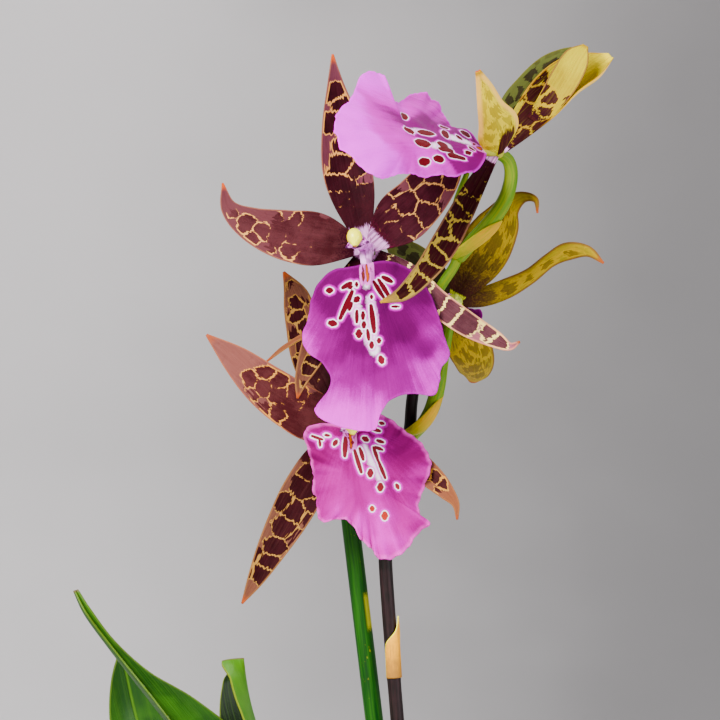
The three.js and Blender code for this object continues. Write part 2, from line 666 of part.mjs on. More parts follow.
// The bark mix fills the pot, with loose chips at its top and a plain hole for each stem.
function buildMix(stems) {
  const low = potFloor + seatGap;
  const bottomRadius = potInside(low) - seatGap;
  const topRadius = potInside(mixTop - mixShoulder) - seatGap;
  const heap = [[0, low], [bottomRadius, low], [topRadius, mixTop - mixShoulder],
    [topRadius - mixShoulder, mixTop], [0, mixTop + mixCrown]];
  const body = new THREE.LatheGeometry(heap.map(([r, z]) => new THREE.Vector2(r, z)), turns);
  body.rotateX(Math.PI / 2);
  let mix = toSolid(body);
  const random = seeded(11);
  for (let i = 0; i < chipCount; i += 1) {
    const radius = (topRadius - 9) * Math.sqrt((i + 0.5) / chipCount);
    const turn = i * Math.PI * (3 - Math.sqrt(5)) + 0.4 * random();
    const chip = barkChip(random);
    chip.translate(radius * Math.cos(turn), radius * Math.sin(turn), mixTop + 0.5 + 2 * random());
    mix = mix.add(toSolid(chip));
  }
  for (const stem of stems) mix = mix.subtract(stem);
  return largest(mix);
}

// Plant.

function buildBulb({ foot, top, wide, deep }, grow = 0) {
  const axis = vector(top).sub(vector(foot));
  const height = axis.length();
  const profile = [[0, 0], [0.5, 0.02], [0.86, 0.14], [1, 0.34], [0.95, 0.55], [0.74, 0.78], [0.42, 0.94],
    [0, 1]];
  const geometry = new THREE.LatheGeometry(profile.map(([r, z]) => new THREE.Vector2(r, z)), 16);
  geometry.rotateX(Math.PI / 2);
  geometry.scale(wide + grow, deep + grow, height + grow);
  const lean = new THREE.Quaternion().setFromUnitVectors(new THREE.Vector3(0, 0, 1), axis.normalize());
  geometry.applyQuaternion(lean);
  geometry.translate(foot[0], foot[1], foot[2] - grow);
  return toSolid(geometry);
}

function buildShoot({ bulb, leaves }) {
  const parts = leaves.map((leaf) => blade({
    ...leaf, thickness: leafThickness, steps: 8,
  }));
  return join([buildBulb(bulb), ...parts]);
}

// The same path, run on a little past both ends.
function runOn(path, extra) {
  const longer = path.map((point) => vector(point));
  const last = longer.length - 1;
  longer[0].add(longer[0].clone().sub(longer[1]).setLength(extra));
  longer[last].add(longer[last].clone().sub(longer[last - 1]).setLength(extra));
  return longer.map((point) => point.toArray());
}

// The tepals on their hub; grow adds clearance all round, for cutting a neighbour back.
function buildTepals({ centre, tepals }, grow = 0) {
  const blades = Object.values(tepals).map((tepal) => blade({
    ...tepal,
    path: runOn(tepal.path, grow),
    width: tepal.width.map((w) => w + grow),
    thickness: tepalThickness + 2 * grow,
  }).translate(centre));
  return join([ball(centre, hubRadius + grow), ...blades]);
}

function buildColumn(bloom) {
  const aim = vector(bloom.column.aim).normalize();
  const place = (reach, rise) => {
    const point = vector(bloom.centre).addScaledVector(aim, reach);
    return point.add(vector([0, 0, rise])).toArray();
  };
  const spine = [place(1, 0), place(columnLength * 0.4, columnArch * 0.75),
    place(columnLength * 0.8, columnArch), place(columnLength, 0)];
  const body = stalk(spine, columnRadii, 5, 8);
  const cap = ball(place(columnLength, columnArch / 2), capRadius);
  return largest(join([body, cap]).subtract(buildTepals(bloom, cutClearance)));
}

// A lip is its sheet and a short claw that reaches back to the hub.
function buildLip(bloom) {
  const sheet = lipSheet(bloom.lip).translate(bloom.centre);
  const [x, y, z] = bloom.lip.root;
  const into = vector(bloom.lip.down).normalize().multiplyScalar(5);
  const route = [[0, 0, 0], [x * 0.6, y * 0.6, z * 0.6], [x + into.x, y + into.y, z + into.z]];
  const claw = stalk(route, clawRadii, 4, 8).translate(bloom.centre);
  const clear = buildTepals(bloom, cutClearance).add(buildColumnClearance(bloom));
  return largest(sheet.add(claw).subtract(clear));
}

// The room that a lip leaves round the column.
function buildColumnClearance(bloom) {
  const aim = vector(bloom.column.aim).normalize();
  const foot = vector(bloom.centre).toArray();
  const end = vector(bloom.centre).addScaledVector(aim, columnLength).toArray();
  const around = stalk([foot, end], [columnRadii[0] + columnRoom], 2, 8);
  return around.add(ball(end, capRadius + columnRoom));
}

function buildSpike() {
  const stem = stalk(stemPath, stemRadii, 24, 7);
  const stalks = Object.values(bloomStalks).map(({ path, radii }) => stalk(path, radii, 6, 7));
  const thin = { thickness: bractThickness, steps: 4 };
  const wraps = Object.values(bracts).map((bract) => blade({ ...bract, ...thin }));
  let spike = join([stem, ...stalks, ...wraps]);
  for (const bloom of Object.values(blooms)) spike = spike.subtract(buildTepals(bloom, cutClearance));
  return largest(spike);
}

// The object.

const orchid = new THREE.Group();
orchid.name = 'brassia_orchid';

function addNode(name, solid, [colour, roughness]) {
  const material = new THREE.MeshStandardMaterial({ color: colour, roughness, metalness: 0 });
  const mesh = new THREE.Mesh(toGeometry(solid), material);
  mesh.name = name;
  orchid.add(mesh);
}

const stemHoles = [stemHole(stemPath, stemRadii[0]), stemHole(stakePath, stakeRadius)];
for (const { bulb } of Object.values(shoots)) stemHoles.push(buildBulb(bulb, seatGap));

addNode('pot', buildPot(), colours.pot);
addNode('potting_mix', buildMix(stemHoles), colours.mix);
addNode('stake', stalk(stakePath, [stakeRadius], 6, 12), colours.stake);
for (const [name, shoot] of Object.entries(shoots)) addNode(name, buildShoot(shoot), colours.leaf);
addNode('flower_spike', buildSpike(), colours.spike);
for (const [name, bloom] of Object.entries(blooms)) {
  addNode(`${name}_tepals`, buildTepals(bloom), colours.tepal);
  addNode(`${name}_column`, buildColumn(bloom), colours.column);
  addNode(`${name}_lip`, buildLip(bloom), colours.lip);
}

export default orchid;
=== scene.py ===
import json
import math

import bmesh
import bpy
import numpy as np
from mathutils import Matrix, Vector

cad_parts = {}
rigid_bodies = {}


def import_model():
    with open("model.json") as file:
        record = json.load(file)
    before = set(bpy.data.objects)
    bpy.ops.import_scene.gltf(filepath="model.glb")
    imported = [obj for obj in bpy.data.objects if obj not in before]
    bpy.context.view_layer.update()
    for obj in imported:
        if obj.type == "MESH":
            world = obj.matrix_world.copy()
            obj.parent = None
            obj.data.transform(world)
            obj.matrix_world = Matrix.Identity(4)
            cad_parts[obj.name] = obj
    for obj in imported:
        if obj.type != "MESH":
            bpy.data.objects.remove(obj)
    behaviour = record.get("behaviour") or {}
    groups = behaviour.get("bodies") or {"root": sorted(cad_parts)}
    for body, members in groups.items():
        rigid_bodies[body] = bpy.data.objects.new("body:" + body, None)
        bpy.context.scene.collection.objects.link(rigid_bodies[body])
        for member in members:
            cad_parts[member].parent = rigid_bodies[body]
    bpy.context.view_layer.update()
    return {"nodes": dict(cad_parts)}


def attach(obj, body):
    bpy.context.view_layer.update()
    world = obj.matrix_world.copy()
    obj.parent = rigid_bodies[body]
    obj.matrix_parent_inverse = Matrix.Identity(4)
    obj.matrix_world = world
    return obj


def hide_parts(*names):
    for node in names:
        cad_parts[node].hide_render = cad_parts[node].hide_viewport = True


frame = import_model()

mm = 0.001
body = "root"
print("frame loaded:", len(frame["nodes"]), "nodes")


# curves and small helpers

def rows(points):
    return np.array(points, float)


def unitRows(v):
    return v / np.maximum(np.linalg.norm(v, axis=-1, keepdims=True), 1e-9)


# Catmull-Rom through the rows, t from 0 to 1, or round a closed loop
def curveAt(points, t, closed=False):
    p = rows(points)
    single = p.ndim == 1
    if single:
        p = p[:, None]
    count = len(p)
    if closed:
        place = np.asarray(t, float) * count
        i = np.floor(place).astype(int)
        f = (place - i)[..., None]
        a, b, c, d = (p[(i + k) % count] for k in (-1, 0, 1, 2))
    else:
        place = np.clip(np.asarray(t, float), 0, 1) * (count - 1)
        i = np.minimum(place.astype(int), count - 2)
        f = (place - i)[..., None]
        q = np.vstack([2 * p[0] - p[1], p, 2 * p[-1] - p[-2]])
        a, b, c, d = q[i], q[i + 1], q[i + 2], q[i + 3]
    out = 0.5 * (2 * b + (c - a) * f + (2 * a - 5 * b + 4 * c - d) * f ** 2 + (3 * b - a - 3 * c + d)
        * f ** 3)
    return out[..., 0] if single else out


def alongValue(values, t):
    return np.full(len(t), float(values[0])) if len(values) == 1 else curveAt(values, t)


# several values at each point, side by side, all in the shape of the first
def stackLike(first, *others):
    return np.stack([first] + [np.broadcast_to(v, first.shape) for v in others], -1)


def blendRows(values, t):
    v = rows(values)
    if len(v) == 1:
        return np.tile(v[0], (len(t), 1))
    at = np.linspace(0, 1, len(v))
    return np.stack([np.interp(t, at, v[:, k]) for k in range(v.shape[1])], -1)


# smooth value noise on a plane, from a seeded lattice
def softNoise(x, y, seed):
    size = 64
    lattice = np.random.default_rng(seed).random((size, size)) * 2 - 1
    xi, yi = np.floor(x).astype(int), np.floor(y).astype(int)
    fx, fy = x - xi, y - yi
    fx, fy = fx * fx * (3 - 2 * fx), fy * fy * (3 - 2 * fy)
    corner = lambda i, j: lattice[(xi + i) % size, (yi + j) % size]
    low = corner(0, 0) * (1 - fx) + corner(1, 0) * fx
    high = corner(0, 1) * (1 - fx) + corner(1, 1) * fx
    return low * (1 - fy) + high * fy


def makeObject(name, data):
    piece = bpy.data.objects.new(name, data)
    bpy.context.scene.collection.objects.link(piece)
    return piece


def makeMesh(name, points, faces, materials, faceMaterials=None, attributes=None):
    mesh = bpy.data.meshes.new(name)
    mesh.from_pydata(points.reshape(-1, 3).tolist(), [], faces.tolist() if hasattr(faces, "tolist")
        else faces)
    for material in materials:
        mesh.materials.append(material)
    if faceMaterials is not None:
        mesh.polygons.foreach_set("material_index", np.asarray(faceMaterials, np.int32))
    for key, values in (attributes or {}).items():
        layer = mesh.attributes.new(key, "FLOAT_VECTOR", "POINT")
        layer.data.foreach_set("vector", np.asarray(values, np.float32).ravel())
    mesh.shade_smooth()
    mesh.update()
    return makeObject(name, mesh)


def joinPieces(name, pieces):
    for piece in bpy.context.selected_objects:
        piece.select_set(False)
    for piece in pieces:
        piece.select_set(True)
    bpy.context.view_layer.objects.active = pieces[0]
    if len(pieces) > 1:
        bpy.ops.object.join()
    whole = bpy.context.view_layer.objects.active
    whole.name = whole.data.name = name
    return whole


# a modifier's inputs are set by their sockets' identifiers, before the piece is first evaluated
def grow(piece, tree, values):
    modifier = piece.modifiers.new(tree.name, "NODES")
    modifier.node_group = tree
    for item in tree.interface.items_tree:
        if item.item_type == "SOCKET" and item.in_out == "INPUT" and item.name in values:
            modifier[item.identifier] = values[item.name]
    graph = bpy.context.evaluated_depsgraph_get()
    grown = bpy.data.meshes.new_from_object(piece.evaluated_get(graph), preserve_all_data_layers=True,
        depsgraph=graph)
    piece.modifiers.remove(modifier)
    seedMesh = piece.data
    piece.data = grown
    bpy.data.meshes.remove(seedMesh)
    grown.name = piece.name
    return piece


# every piece rides on the one body and hides the nodes it stands in for
def settle(piece, slot, *nodes):
    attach(piece, body)
    if nodes:
        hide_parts(*nodes)
    return piece


# A sheet of points, rows by columns, is given two faces and a rim. The front looks along the
# cross product of row and column steps. Its arrays are kept as vector attributes on both faces.
def sheetPiece(name, grid, thickness, materials, attributes, closed=False):
    n, m = grid.shape[:2]
    stepRow = np.gradient(grid, axis=0)
    if closed:
        stepColumn = (np.roll(grid, -1, 1) - np.roll(grid, 1, 1)) / 2
    else:
        stepColumn = np.gradient(grid, axis=1)
    normal = unitRows(np.cross(stepRow, stepColumn))
    half = np.broadcast_to(np.asarray(thickness, float), (n, m))[..., None] / 2
    front, back = grid + normal * half, grid - normal * half
    points = [front.reshape(-1, 3), back.reshape(-1, 3)]
    size = n * m
    i, j = np.meshgrid(np.arange(n - 1), np.arange(m if closed else m - 1), indexing="ij")
    a = (i * m + j).ravel()
    b = (i * m + (j + 1) % m).ravel()
    faces = np.stack([a, a + m, b + m, b], -1)
    faceList = faces.tolist() + (faces[:, ::-1] + size).tolist()
    marks = [0] * len(faces) + [1] * len(faces)
    if closed:
        last = (n - 1) * m
        loop = [last + k for k in range(m)][::-1]
        centre = grid[0].mean(0)
        proud = unitRows(normal[0].mean(0)) * half[0].mean()
        points += [np.array([centre + proud, centre - proud])]
        top, low = 2 * size, 2 * size + 1
        for k in range(m):
            q = (k + 1) % m
            faceList += [[top, k, q], [low, size + q, size + k]]
            marks += [0, 1]
    else:
        loop = list(range(m))
        loop += [i * m + m - 1 for i in range(1, n)]
        loop += [(n - 1) * m + j for j in range(m - 2, -1, -1)]
        loop += [i * m for i in range(n - 2, 0, -1)]
    for k, here in enumerate(loop):
        after = loop[(k + 1) % len(loop)]
        faceList.append([here, after, after + size, here + size])
        marks.append(0)
    doubled = {}
    for key, values in attributes.items():
        flat = values.reshape(-1, 3)
        parts = [flat, flat]
        if closed:
            parts.append(np.tile(values[0].mean(0), (2, 1)))
        doubled[key] = np.concatenate(parts)
    return makeMesh(name, np.concatenate(points), faceList, materials, marks, doubled)


# a node's output that can be added, subtracted, multiplied and divided like a number

class Wire:
    def __init__(self, bench, socket):
        self.bench, self.socket = bench, socket

    def __add__(self, other):
        return self.bench.math("ADD", self, other)

    def __radd__(self, other):
        return self.bench.math("ADD", other, self)

    def __sub__(self, other):
        return self.bench.math("SUBTRACT", self, other)

    def __rsub__(self, other):
        return self.bench.math("SUBTRACT", other, self)

    def __mul__(self, other):
        return self.bench.math("MULTIPLY", self, other)

    def __rmul__(self, other):
        return self.bench.math("MULTIPLY", other, self)

    def __truediv__(self, other):
        return self.bench.math("DIVIDE", self, other)

    def __abs__(self):
        return self.bench.math("ABSOLUTE", self)


# shader tools

class NodeBench:
    def __init__(self, tree):
        self.tree = tree

    def add(self, kind, inputs=None, **settings):
        node = self.tree.nodes.new(kind)
        for key, value in settings.items():
            setattr(node, key, value)
        for key, value in (inputs or {}).items():
            self.feed(node.inputs[key], value)
        return node

    # a wire is linked, a number is set, and a colour is a triple of linear red, green and blue
    def feed(self, socket, value):
        value = getattr(value, "socket", value)
        if isinstance(value, bpy.types.NodeSocket):
            self.tree.links.new(value, socket)
        else:
            socket.default_value = (*value, 1.0) if socket.type == "RGBA" else value

    # the first output of a new node
    def wire(self, kind, inputs=None, **settings):
        return Wire(self, self.add(kind, inputs, **settings).outputs[0])

    def split(self, vector):
        return [Wire(self, socket) for socket in self.add("ShaderNodeSeparateXYZ", {0: vector}).outputs]

    # an attribute as a vector, and its three parts
    def attribute(self, name):
        vector = Wire(self, self.add("ShaderNodeAttribute", attribute_name=name).outputs["Vector"])
        return [vector] + self.split(vector)

    def math(self, operation, *values):
        return self.wire("ShaderNodeMath", dict(enumerate(values)), operation=operation)

    def vector(self, operation, *values):
        return self.wire("ShaderNodeVectorMath", dict(enumerate(values)), operation=operation)

    def combine(self, *parts):
        return self.wire("ShaderNodeCombineXYZ", dict(enumerate(parts)))

    # 0 below low and 1 above high, eased between
    def ease(self, value, low, high):
        return self.wire("ShaderNodeMapRange", {"Value": value, "From Min": low, "From Max": high},
                         interpolation_type="SMOOTHSTEP")

    def mix(self, factor, a, b):
        node = self.add("ShaderNodeMix", data_type="RGBA")
        for place, value in ((0, factor), (6, a), (7, b)):
            self.feed(node.inputs[place], value)
        return Wire(self, node.outputs[2])

    def noise(self, vector, scale, detail, roughness=0.5, distortion=0.0):
        return self.wire("ShaderNodeTexNoise", {"Vector": vector, "Scale": scale, "Detail": detail,
                                                "Roughness": roughness, "Distortion": distortion})

    def scaled(self, vector, scale):
        return self.wire("ShaderNodeMapping", {"Vector": vector, "Scale": scale})

    def bump(self, height, strength, distance):
        return self.wire("ShaderNodeBump", {"Height": height, "Strength": strength, "Distance": distance})

    def group(self, tree, inputs):
        return self.named(self.add("ShaderNodeGroup", inputs, node_tree=tree))

    def named(self, node):
        return {socket.name: Wire(self, socket) for socket in node.outputs}


def newMaterial(name):
    material = bpy.data.materials.new(name)
    material.use_nodes = True
    return material, NodeBench(material.node_tree), material.node_tree.nodes["Principled BSDF"]


def dress(bench, shader, sockets):
    for key, value in sockets.items():
        bench.feed(shader.inputs[key], value)


# a node group from names and kinds of sockets: its bench, its inputs as wires, and its output sockets
def newTree(kind, name, inputs, outputs):
    tree = bpy.data.node_groups.new(name, kind)
    for way, sockets in (("INPUT", inputs), ("OUTPUT", outputs)):
        for label, sort in sockets.items():
            tree.interface.new_socket(label, in_out=way, socket_type="NodeSocket" + sort)
    bench = NodeBench(tree)
    return tree, bench, bench.named(bench.add("NodeGroupInput")), bench.add("NodeGroupOutput").inputs


# fine veins that run with the petal or leaf, and a fine grain of cells
def buildVeinGroup():
    tree, bench, source, sink = newTree("ShaderNodeTree", "fineVeins",
        {"Vector": "Vector", "Across": "Float", "Along": "Float"},
                                        {"Vein": "Float", "Grain": "Float"})
    across, along, _ = bench.split(source["Vector"])
    place = bench.combine(across * source["Across"], along * source["Along"])
    bench.feed(sink["Vein"], bench.noise(place, 1.0, 3.0, 0.55, 0.3))
    bench.feed(sink["Grain"], bench.noise(source["Vector"], 5.0, 2.0))
    return tree


# rounded cells with seams between them: mm to the nearest seam, and how far off the cell's middle lies
def buildNetGroup():
    tree, bench, source, sink = newTree("ShaderNodeTree", "petalNet",
        {"Vector": "Vector", "Cell": "Vector", "Wander": "Float"},
                                        {"Seam": "Float", "Far": "Float", "Across": "Float",
                                            "Along": "Float"})
    cell, wander = source["Cell"], source["Wander"]
    placed = bench.vector("ADD", bench.vector("DIVIDE", source["Vector"], cell), (0.5, 0.0, 0.0))
    cloud = bench.add("ShaderNodeTexNoise", {"Vector": placed, "Scale": 1.5, "Detail": 1.2}).outputs["Color"]
    swing = bench.vector("SUBTRACT", cloud, (0.5, 0.5, 0.5))
    moved = bench.vector("MULTIPLY_ADD", swing, bench.combine(wander, wander), placed)
    cells = {"Vector": moved, "Scale": 1.0, "Randomness": 0.8}
    edges = bench.wire("ShaderNodeTexVoronoi", cells, voronoi_dimensions="2D", feature="DISTANCE_TO_EDGE")
    sites = bench.named(bench.add("ShaderNodeTexVoronoi", cells, voronoi_dimensions="2D"))
    right, up, _ = bench.split(bench.vector("MULTIPLY", bench.vector("SUBTRACT", sites["Position"], moved),
        cell))
    wide, long, _ = bench.split(cell)
    smaller = bench.math("MINIMUM", wide, long)
    for label, value in (("Seam", edges * smaller), ("Far", sites["Distance"] * smaller), ("Across", right),
            ("Along", up)):
        bench.feed(sink[label], value)
    return tree


veinGroup = buildVeinGroup()
netGroup = buildNetGroup()


# tepal finishes

tepalLook = {"blotch": (0.0294, 0.003, 0.0063), "shade": (0.0161, 0.0013, 0.0034),
    "gap": (0.1082, 0.0254, 0.0413), "line": (0.5904, 0.2563, 0.0573), "margin": (0.2882, 0.0989, 0.0555),
    "tip": (0.1225, 0.0281, 0.043), "tipEnd": (0.4696, 0.0662, 0.0057), "claw": (0.6038, 0.2774, 0.5629),
    "clawStreak": (0.0908, 0.0033, 0.0554), "round": 0.64, "seam": 0.26, "outline": 0.4, "marginWidth": 0.4,
    "marginFrom": 0.2, "rough": 0.6, "veil": 0.1, "tipFrom": 0.84, "loose": 0.0, "wander": 0.36,
    "strength": 1.0, "foot": (0.0224, 0.0014, 0.0056), "footTo": 0.12}

tepalLooks = {
    "maroon": {},
    "rose": {"blotch": (0.0702, 0.0159, 0.0194), "shade": (0.0373, 0.0053, 0.0078),
        "gap": (0.1009, 0.028, 0.033), "line": (0.6342, 0.2827, 0.0643), "tip": (0.1118, 0.0245, 0.0346),
        "veil": 0.16, "round": 0.7},
    "maroonNet": {"blotch": (0.0375, 0.0045, 0.0093), "shade": (0.021, 0.0015, 0.0045),
        "gap": (0.1225, 0.0315, 0.043), "line": (0.5001, 0.2334, 0.0588), "foot": (0.0561, 0.0012, 0.0127)},
    "maroonBrown": {"blotch": (0.0252, 0.0027, 0.0046), "shade": (0.0151, 0.0012, 0.0022),
        "gap": (0.1181, 0.043, 0.0254), "margin": (0.2327, 0.0978, 0.0298), "line": (0.3212, 0.1549, 0.0275),
        "tip": (0.143, 0.0468, 0.0241), "tipEnd": (0.3174, 0.0561, 0.0093), "marginWidth": 0.6, "seam": 0.26,
        "outline": 0.36},
    "rustPink": {"blotch": (0.078, 0.0171, 0.0183), "shade": (0.0411, 0.0053, 0.0072),
        "foot": (0.0841, 0.0145, 0.0206), "gap": (0.1486, 0.0466, 0.0424), "line": (0.6055, 0.2506, 0.0354),
        "tip": (0.2062, 0.0658, 0.0521), "tipEnd": (0.3302, 0.071, 0.0262),
        "margin": (0.3894, 0.1158, 0.0477), "tipFrom": 0.6, "round": 0.7},
    "plum": {"blotch": (0.1009, 0.0324, 0.0412), "shade": (0.0628, 0.0157, 0.0229),
        "gap": (0.3343, 0.1044, 0.1369), "line": (0.95, 0.6826, 0.1903), "tip": (0.2232, 0.0584, 0.0695),
        "tipEnd": (0.3291, 0.0722, 0.0215), "margin": (0.6537, 0.2387, 0.1523), "marginWidth": 0.7,
        "outline": 0.5, "seam": 0.5, "round": 0.62, "loose": 0.4},
    "russet": {"blotch": (0.0224, 0.0016, 0.0031), "shade": (0.0141, 0.0007, 0.0018),
        "gap": (0.1904, 0.1292, 0.0331), "line": (0.2779, 0.1914, 0.0178), "margin": (0.1723, 0.0731, 0.0357),
        "marginWidth": 0.7, "tip": (0.3236, 0.1786, 0.0188), "tipEnd": (0.4173, 0.2094, 0.0004), "seam": 0.45,
        "outline": 0.4},
    "sunlit": {"blotch": (0.0277, 0.0042, 0.0047), "shade": (0.0185, 0.0024, 0.0027),
        "gap": (0.4098, 0.3289, 0.0004), "line": (0.2929, 0.1666, 0.0056), "margin": (0.339, 0.1653, 0.0004),
        "marginWidth": 0.7, "tip": (0.4835, 0.3769, 0.0004), "tipEnd": (0.7113, 0.5468, 0.0004), "seam": 0.34,
        "tipFrom": 0.55, "outline": 0.36, "loose": 0.2},
    "apricot": {"blotch": (0.0589, 0.0132, 0.0122), "shade": (0.0307, 0.0052, 0.0071),
        "gap": (0.1762, 0.0591, 0.0327), "line": (0.4778, 0.2107, 0.0291), "margin": (0.2715, 0.101, 0.0307),
        "tip": (0.2012, 0.0622, 0.0248), "tipEnd": (0.283, 0.0522, 0.0114), "tipFrom": 0.6, "seam": 0.34},
    "cream": {"blotch": (0.0886, 0.0234, 0.0219), "shade": (0.052, 0.0122, 0.0131),
        "gap": (0.7035, 0.3695, 0.0643), "line": (0.95, 0.609, 0.0318), "tip": (0.4093, 0.1625, 0.0492),
        "tipEnd": (0.4042, 0.1183, 0.0027), "margin": (0.596, 0.3105, 0.0312), "loose": 0.6,
        "marginWidth": 0.8},
    "gold": {"blotch": (0.313, 0.2685, 0.0004), "shade": (0.2389, 0.1751, 0.0044),
        "gap": (0.5155, 0.3849, 0.0004), "line": (0.8913, 0.7262, 0.0004), "margin": (0.95, 0.53, 0.1033),
        "marginWidth": 2.2, "tip": (0.4715, 0.3405, 0.0004), "tipEnd": (0.4709, 0.2434, 0.0004),
        "claw": (0.036, 0.0037, 0.0043), "clawStreak": (0.0754, 0.018, 0.0068), "outline": 1.2, "veil": 0.6,
        "seam": 1.1, "wander": 1.0, "strength": 0.45, "foot": (0.2995, 0.283, 0.0004)},
    "fold": {"blotch": (0.0459, 0.0125, 0.0103), "shade": (0.025, 0.0037, 0.0041),
        "gap": (0.3498, 0.2578, 0.0004), "line": (0.3881, 0.254, 0.0004), "margin": (0.1428, 0.0491, 0.0242),
        "marginWidth": 0.6, "tip": (0.4353, 0.343, 0.0004), "tipEnd": (0.3372, 0.1992, 0.0004),
        "claw": (0.0309, 0.0042, 0.0047), "clawStreak": (0.059, 0.0124, 0.0091), "outline": 0.5, "seam": 0.5,
        "round": 0.56, "tipFrom": 0.5, "loose": 0.6},
    "olive": {"blotch": (0.0234, 0.015, 0.0101), "shade": (0.0152, 0.0093, 0.0056),
        "gap": (0.0567, 0.0618, 0.0147), "line": (0.0873, 0.1029, 0.0214), "margin": (0.1449, 0.1354, 0.0151),
        "tip": (0.1206, 0.1292, 0.0179), "tipEnd": (0.3484, 0.1981, 0.0004), "outline": 0.9,
        "claw": (0.2273, 0.2995, 0.045), "clawStreak": (0.1214, 0.1336, 0.028), "seam": 0.8, "veil": 0.3,
        "loose": 0.4, "strength": 0.85, "foot": (0.0318, 0.0255, 0.0088)},
    "oliveGold": {"blotch": (0.062, 0.0249, 0.0064), "shade": (0.0425, 0.0108, 0.0046),
        "gap": (0.2488, 0.1898, 0.0004), "line": (0.4067, 0.2531, 0.0004), "margin": (0.1217, 0.044, 0.0138),
        "marginWidth": 1.0, "tip": (0.369, 0.2104, 0.0004), "tipEnd": (0.2854, 0.0639, 0.0103),
        "outline": 0.9, "seam": 0.9, "round": 0.56, "claw": (0.3487, 0.3812, 0.0004),
        "clawStreak": (0.1448, 0.1355, 0.0106), "veil": 0.5, "loose": 0.5, "wander": 0.9, "strength": 0.55,
        "foot": (0.026, 0.0061, 0.0042), "footTo": 0.42}}


